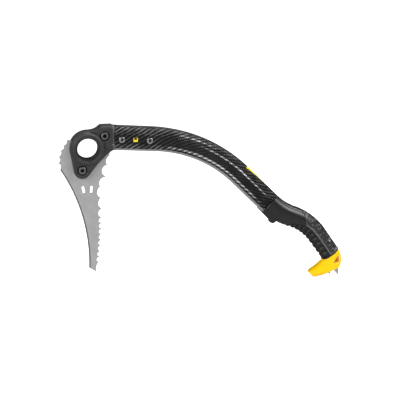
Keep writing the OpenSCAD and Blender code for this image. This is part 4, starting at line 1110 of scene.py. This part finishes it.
# The wall of the eye is stored with the mesh, so that the material can paint light on it: a lighter
# yellow and an orange glow
flat = spots[:, ::2] / MM
reach = np.full(len(flat), FAR_AWAY)
for start, end in zip(eye_spots, eye_spots[1:] + eye_spots[:1]):
    start, run = np.array(start), np.array(end) - np.array(start)
    share = np.clip((flat - start) @ run / (run @ run), 0, 1)
    reach = np.minimum(reach, np.linalg.norm(flat - start - share[:, None] * run, axis=1))
store(pommel_mesh, "eye_wall", np.clip((EYE_R + EYE_WALL - reach) / EYE_WALL_FADE, 0, 1))
finish_piece("pommel_skin", pommel_mesh, yellow_nylon, ["pommel"])

# %% [markdown]
# ## Forged and moulded edges
# The CAD solids of the head and the finger rest have sharp edges, but a forging and a moulding
# have none. A copy of each is filled with small cubes of a fixed size, skinned again and relaxed,
# which rounds every edge by about a millimetre and keeps the holes.

# %% Rounded copies
WELD_MM, KNOB_SIDES, KNOB_RINGS = 0.001, 48, 24


def softened(node, voxel_mm, rounds, name, knob=None):
    """A copy of a node with all its edges rounded, and grown together with an oval knob, given by
    its middle and its half sizes in mm."""
    mesh = nodes[node].data.copy()
    bm = bmesh.new()
    bm.from_mesh(mesh)
    bmesh.ops.remove_doubles(bm, verts=bm.verts, dist=WELD_MM * MM)
    if knob:
        ball = bmesh.ops.create_uvsphere(bm, u_segments=KNOB_SIDES, v_segments=KNOB_RINGS,
                                         radius=1.0)
        for vert in ball["verts"]:
            vert.co = [(c * size + middle) * MM
                       for c, size, middle in zip(vert.co, knob[1], knob[0])]
    bm.to_mesh(mesh)
    bm.free()
    return applied(mesh, rounding(voxel_mm, rounds), name)


# %% Head
HEAD_VOXEL, HEAD_ROUNDS = 0.62, 5
# The clip hole: its radius, how far from the middle plane it flares and by how much, the top of
# its collar, half the pick's slot, and the flare's start once it is made longer
HOLE_R, HOLE_LAND, HOLE_FLARE, CREST_HALF, SLOT_HALF, LONGER_LAND = 17.0, 5.0, 3.5, 14.0, 2.1, 7.5
# What counts as the hole's wall: how near its drawn radius, and how far from the slot and crest
WALL_NEAR, CLEAR_OF_SLOT, CLEAR_OF_CREST = 1.6, 0.2, 1.2
# The painted shade in the bore: how far out from the hole, and how far below the crest it starts
BORE_SHADE_OUT, BORE_SHADE_BELOW = 1.2, 4

head_mesh = softened("head", HEAD_VOXEL, HEAD_ROUNDS, "head_skin")
# Relaxing opens the clip hole a little, so its wall is brought back to the drawn radius, and its
# narrow part is made a little longer
spots = mesh_spots(head_mesh)
out, off = np.hypot(spots[:, 0], spots[:, 2]) / MM, np.abs(spots[:, 1]) / MM
drawn, wanted = (
    HOLE_R + HOLE_FLARE * np.clip((off - land) / (CREST_HALF - land), 0, 1)
    for land in (HOLE_LAND, LONGER_LAND))
wall = ((np.abs(out - drawn) < WALL_NEAR) & (off > SLOT_HALF + CLEAR_OF_SLOT)
        & (off < CREST_HALF - CLEAR_OF_CREST))
print("clip hole wall was", round(float((out - drawn)[wall].mean()), 2), "mm too wide at",
      int(wall.sum()), "points")
pull_in = (wanted / out)[wall]
spots[wall] *= np.column_stack([pull_in, np.ones(wall.sum()), pull_in])
head_mesh.vertices.foreach_set("co", spots.ravel())
# The wall of the clip hole is stored, so that the material can paint shade on it
store(head_mesh, "bore_shade", (out < HOLE_R + BORE_SHADE_OUT) & (off < CREST_HALF - BORE_SHADE_BELOW))
finish_piece("head_skin", head_mesh, forged, ["head"])

# %% Finger rest
REST_VOXEL, REST_ROUNDS = 0.45, 4
NUB_PLACE, NUB_SIZE = (308.3, 0.0, -136.8), (4.9, 9.2, 4.9)

rest_mesh = softened("finger_rest", REST_VOXEL, REST_ROUNDS, "finger_rest_skin",
                     knob=(NUB_PLACE, NUB_SIZE))
finish_piece("finger_rest_skin", rest_mesh, black_nylon, ["finger_rest"])

# %% [markdown]
# ## Socket screws
# Two bolts hold the pick and two screws with their sleeve nuts hold the shaft. All are the same
# turned shape with other sizes: a head that is flat or domed, a bevelled rim, a hex socket and a
# shank. One geometry tree makes them from named sizes and stands one on each point of its mesh.

# %% A tree that makes a socket screw: the head
# Faces round the head, up its side and over its top, and faces round the shank
HEAD_SIDES, HEAD_STEPS, HEAD_RINGS, SHANK_SIDES = 72, 6, 26, 48
SOCKET_MOUTH_MM = 0.75

screw_tree, given = new_tree("socket_screw", {
    "Head Width": 13.0 * MM, "Head Height": 5.0 * MM, "Crown": 0.0, "Bevel": 0.8 * MM,
    "Key": 6.0 * MM, "Socket Depth": 3.6 * MM, "Shank Width": 8.0 * MM,
    "Shank Length": 15.0 * MM, "Turn": (0.0, 0.0, 0.0)})
tree = screw_tree
head_h = given["Head Height"]
# A finely divided cylinder that stands on its underside
radius = add_node(tree, "ShaderNodeMath", {0: given["Head Width"], 1: 0.5}, operation="MULTIPLY")
blank = add_node(tree, "GeometryNodeMeshCylinder", {
    "Vertices": HEAD_SIDES, "Side Segments": HEAD_STEPS, "Fill Segments": HEAD_RINGS,
    "Radius": radius, "Depth": head_h})
lift = add_node(tree, "ShaderNodeMath", {0: head_h, 1: 0.5}, operation="MULTIPLY")
lift_by = add_node(tree, "ShaderNodeCombineXYZ", {"Z": lift})
stood = add_node(tree, "GeometryNodeTransform", {"Geometry": blank, "Translation": lift_by})
split = add_node(tree, "ShaderNodeSeparateXYZ", {
    0: add_node(tree, "GeometryNodeInputPosition")}).outputs
flat = add_node(tree, "ShaderNodeCombineXYZ", {"X": split["X"], "Y": split["Y"]})
out = add_node(tree, "ShaderNodeVectorMath", {0: flat}, operation="LENGTH").outputs["Value"]
# Its top sinks towards the rim: by the crown over the whole width, by the bevel at the edge
share = add_node(tree, "ShaderNodeMath", {0: out, 1: radius}, operation="DIVIDE")
squared = add_node(tree, "ShaderNodeMath", {0: share, 1: 2.0}, operation="POWER")
crown = add_node(tree, "ShaderNodeMath", {0: squared, 1: given["Crown"]}, operation="MULTIPLY")
inside = add_node(tree, "ShaderNodeMath", {0: radius, 1: given["Bevel"]}, operation="SUBTRACT")
over_edge = add_node(tree, "ShaderNodeMapRange", {
    "Value": out, "From Min": inside, "From Max": radius})
edge = add_node(tree, "ShaderNodeMath", {0: over_edge, 1: 2.0}, operation="POWER")
bevel = add_node(tree, "ShaderNodeMath", {0: edge, 1: given["Bevel"]}, operation="MULTIPLY")
drop = add_node(tree, "ShaderNodeMath", {0: crown, 1: bevel}, operation="ADD")
height = add_node(tree, "ShaderNodeMath", {0: head_h, 1: drop}, operation="SUBTRACT")
level = add_node(tree, "ShaderNodeMath", {0: split["Z"], 1: head_h}, operation="DIVIDE")
new_z = add_node(tree, "ShaderNodeMath", {0: height, 1: level}, operation="MULTIPLY")
spot = add_node(tree, "ShaderNodeCombineXYZ", {"X": split["X"], "Y": split["Y"], "Z": new_z})
domed = add_node(tree, "GeometryNodeSetPosition", {"Geometry": stood, "Position": spot})

# %% The same tree: the hex socket
hex_r = add_node(tree, "ShaderNodeMath", {0: given["Key"], 1: 0.5 / math.cos(math.pi / 6)},
                 operation="MULTIPLY")
key = add_node(tree, "GeometryNodeMeshCylinder", {"Vertices": 6, "Radius": hex_r, "Depth": head_h})
key_top = add_node(tree, "ShaderNodeMath", {0: head_h, 1: 1.5}, operation="MULTIPLY")
key_z = add_node(tree, "ShaderNodeMath", {0: key_top, 1: given["Socket Depth"]},
                 operation="SUBTRACT")
key_by = add_node(tree, "ShaderNodeCombineXYZ", {"Z": key_z})
key_up = add_node(tree, "GeometryNodeTransform", {"Geometry": key, "Translation": key_by})
cut = add_node(tree, "GeometryNodeMeshBoolean", {"Mesh 1": domed, "Mesh 2": key_up},
               operation="DIFFERENCE")
# Its faces are marked, so that the material can paint them dark: a painted shade in the socket
near = add_node(tree, "ShaderNodeMath", {0: out, 1: hex_r}, operation="LESS_THAN")
below = add_node(tree, "ShaderNodeMath", {0: head_h, 1: SOCKET_MOUTH_MM * MM},
                 operation="SUBTRACT")
deep = add_node(tree, "ShaderNodeMath", {0: split["Z"], 1: below}, operation="LESS_THAN")
dark = add_node(tree, "ShaderNodeMath", {0: near, 1: deep}, operation="MULTIPLY")
marked = add_node(tree, "GeometryNodeStoreNamedAttribute", {
    "Geometry": cut.outputs["Mesh"], "Name": "socket", "Value": dark},
                  data_type="FLOAT", domain="FACE")

# %% The same tree: the shank, and a screw on each point
shank_r = add_node(tree, "ShaderNodeMath", {0: given["Shank Width"], 1: 0.5}, operation="MULTIPLY")
shank = add_node(tree, "GeometryNodeMeshCylinder", {
    "Vertices": SHANK_SIDES, "Radius": shank_r, "Depth": given["Shank Length"]})
shank_z = add_node(tree, "ShaderNodeMath", {0: given["Shank Length"], 1: -0.5},
                   operation="MULTIPLY")
shank_by = add_node(tree, "ShaderNodeCombineXYZ", {"Z": shank_z})
shank_down = add_node(tree, "GeometryNodeTransform", {"Geometry": shank, "Translation": shank_by})
joined = add_node(tree, "GeometryNodeJoinGeometry")
for part in (marked, shank_down):
    tree.links.new(part.outputs[0], joined.inputs[0])
flat_faced = add_node(tree, "GeometryNodeSetShadeSmooth", {
    "Geometry": joined, "Shade Smooth": False})
turn = add_node(tree, "FunctionNodeEulerToRotation", {0: given["Turn"]})
stand = add_node(tree, "GeometryNodeInstanceOnPoints", {
    "Points": given["Geometry"], "Instance": flat_faced, "Rotation": turn})
end_tree(tree, stand, bolt_steel)

# %% Bolts, screws and sleeve nuts
# A screw stands upright in its tree, and is turned so that its head looks to the front or back
FRONT, REAR = (math.pi / 2, 0.0, 0.0), (-math.pi / 2, 0.0, 0.0)
COUNTERBORE_FLOOR, BOLT_SHANK = 5.0, 15.0
# The screws lie a little below the middle of the shaft, which slopes down
SHAFT_MID_SLOPE, SCREW_LOWER = math.tan((4.8 + 4.1) / 2 * RAD), 2
BOLT_SPOTS = {"upper": (27.6, 20.9), "lower": (-9.8, -35.0)}
SCREW_SPOTS = {"front": 55.6, "rear": 101.6}
DOME_MM = {"Head Width": 10.6, "Head Height": 2.6, "Crown": 1.2, "Bevel": 0.5, "Key": 4.0,
           "Socket Depth": 1.8}


def socket_screw(name, place, turn, material, replaced, sizes_mm):
    """A screw at one place, turned to the front or the back, instead of a plain node."""
    sizes = {key: value * MM for key, value in sizes_mm.items()}
    mesh = applied(new_mesh(name + "_spot", [place], []), [("NODES", {"node_group": screw_tree})],
                   name, {"Turn": turn, **sizes})
    finish_piece(name, mesh, material, [replaced], smooth=False)


for where, (x, z) in BOLT_SPOTS.items():
    socket_screw(f"socket_bolt_{where}", (x, -COUNTERBORE_FLOOR, z), FRONT, bolt_steel,
                 f"pick_bolt_{where}", {"Shank Length": BOLT_SHANK})
for where, x in SCREW_SPOTS.items():
    z = TOP_Z - DEPTH_HEAD / 2 - (x - TUBE_X) * SHAFT_MID_SLOPE - SCREW_LOWER
    socket_screw(f"domed_screw_{where}", (x, -CHANNEL_W / 2, z), FRONT, screw_steel,
                 f"shaft_screw_{where}",
                 {"Shank Width": 6.0, "Shank Length": 14.0, **DOME_MM})
    socket_screw(f"domed_nut_{where}", (x, CHANNEL_W / 2, z), REAR, screw_steel,
                 f"sleeve_nut_{where}",
                 {"Shank Width": 9.0, "Shank Length": 3.0, **DOME_MM})

# %% [markdown]
# ## The tag
# A small yellow plate lies in the channel between the shaft's screws. It is enamelled sheet with
# a dark rim and a plain dark bar, both painted by place.

# %% Tag material
# Two boxes on the tag's face, as axis, middle and half size in mm: the bar, and the field
# inside the rim
TAG_BOXES = (("X", -0.2, 2.3), ("Z", 1.5, 1.6), ("X", 0.0, 3.6), ("Z", 0.0, 3.4))

tag_enamel, tree, shader, colour = surface("enamelled_yellow_tag", "#e8cf12", "#f6e128",
                                           0.35, 0.8, 0.01)
place = add_node(tree, "ShaderNodeTexCoord").outputs["Object"]
tag_low, tag_high = (np.array(corner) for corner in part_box("id_tag"))
local = add_node(tree, "ShaderNodeVectorMath", {0: place, 1: tuple((tag_low + tag_high) / 2)},
                 operation="SUBTRACT")
split = add_node(tree, "ShaderNodeSeparateXYZ", {0: local}).outputs
inside = []
for axis, centre, half in TAG_BOXES:
    off = add_node(tree, "ShaderNodeMath", {0: split[axis], 1: centre * MM}, operation="SUBTRACT")
    size = add_node(tree, "ShaderNodeMath", {0: off}, operation="ABSOLUTE")
    inside.append(add_node(tree, "ShaderNodeMath", {0: size, 1: half * MM}, operation="LESS_THAN"))
bar = add_node(tree, "ShaderNodeMath", {0: inside[0], 1: inside[1]}, operation="MULTIPLY")
field = add_node(tree, "ShaderNodeMath", {0: inside[2], 1: inside[3]}, operation="MULTIPLY")
border = add_node(tree, "ShaderNodeMath", {0: 1.0, 1: field}, operation="SUBTRACT")
dark = add_node(tree, "ShaderNodeMath", {0: bar, 1: border}, operation="MAXIMUM")
add_node(tree, "ShaderNodeMix", {0: dark, UNDER: colour, OVER: "#161616"},
         {MIXED: shader.inputs["Base Color"]}, data_type="RGBA")

# %% [markdown]
# ## Nodes that stay
# The pick, the spike, the collar, the tag, the hex nuts and the pieces inside the tool have the
# right shape as they are, so they only get their finish.

# %% Finishes on the kept nodes
kept_finish = {
    "pick": pick_steel, "spike": spike_steel, "pick_nut_upper": nut_steel,
    "pick_nut_lower": nut_steel, "shaft_collar": collar_alloy, "id_tag": tag_enamel,
    "shaft_plug": plug_alloy, "plug_pin": nut_steel, "spike_pins": nut_steel,
}
for name, material in kept_finish.items():
    for entry in nodes[name].material_slots:
        entry.material = material
print("kept nodes:", sorted(kept_finish))
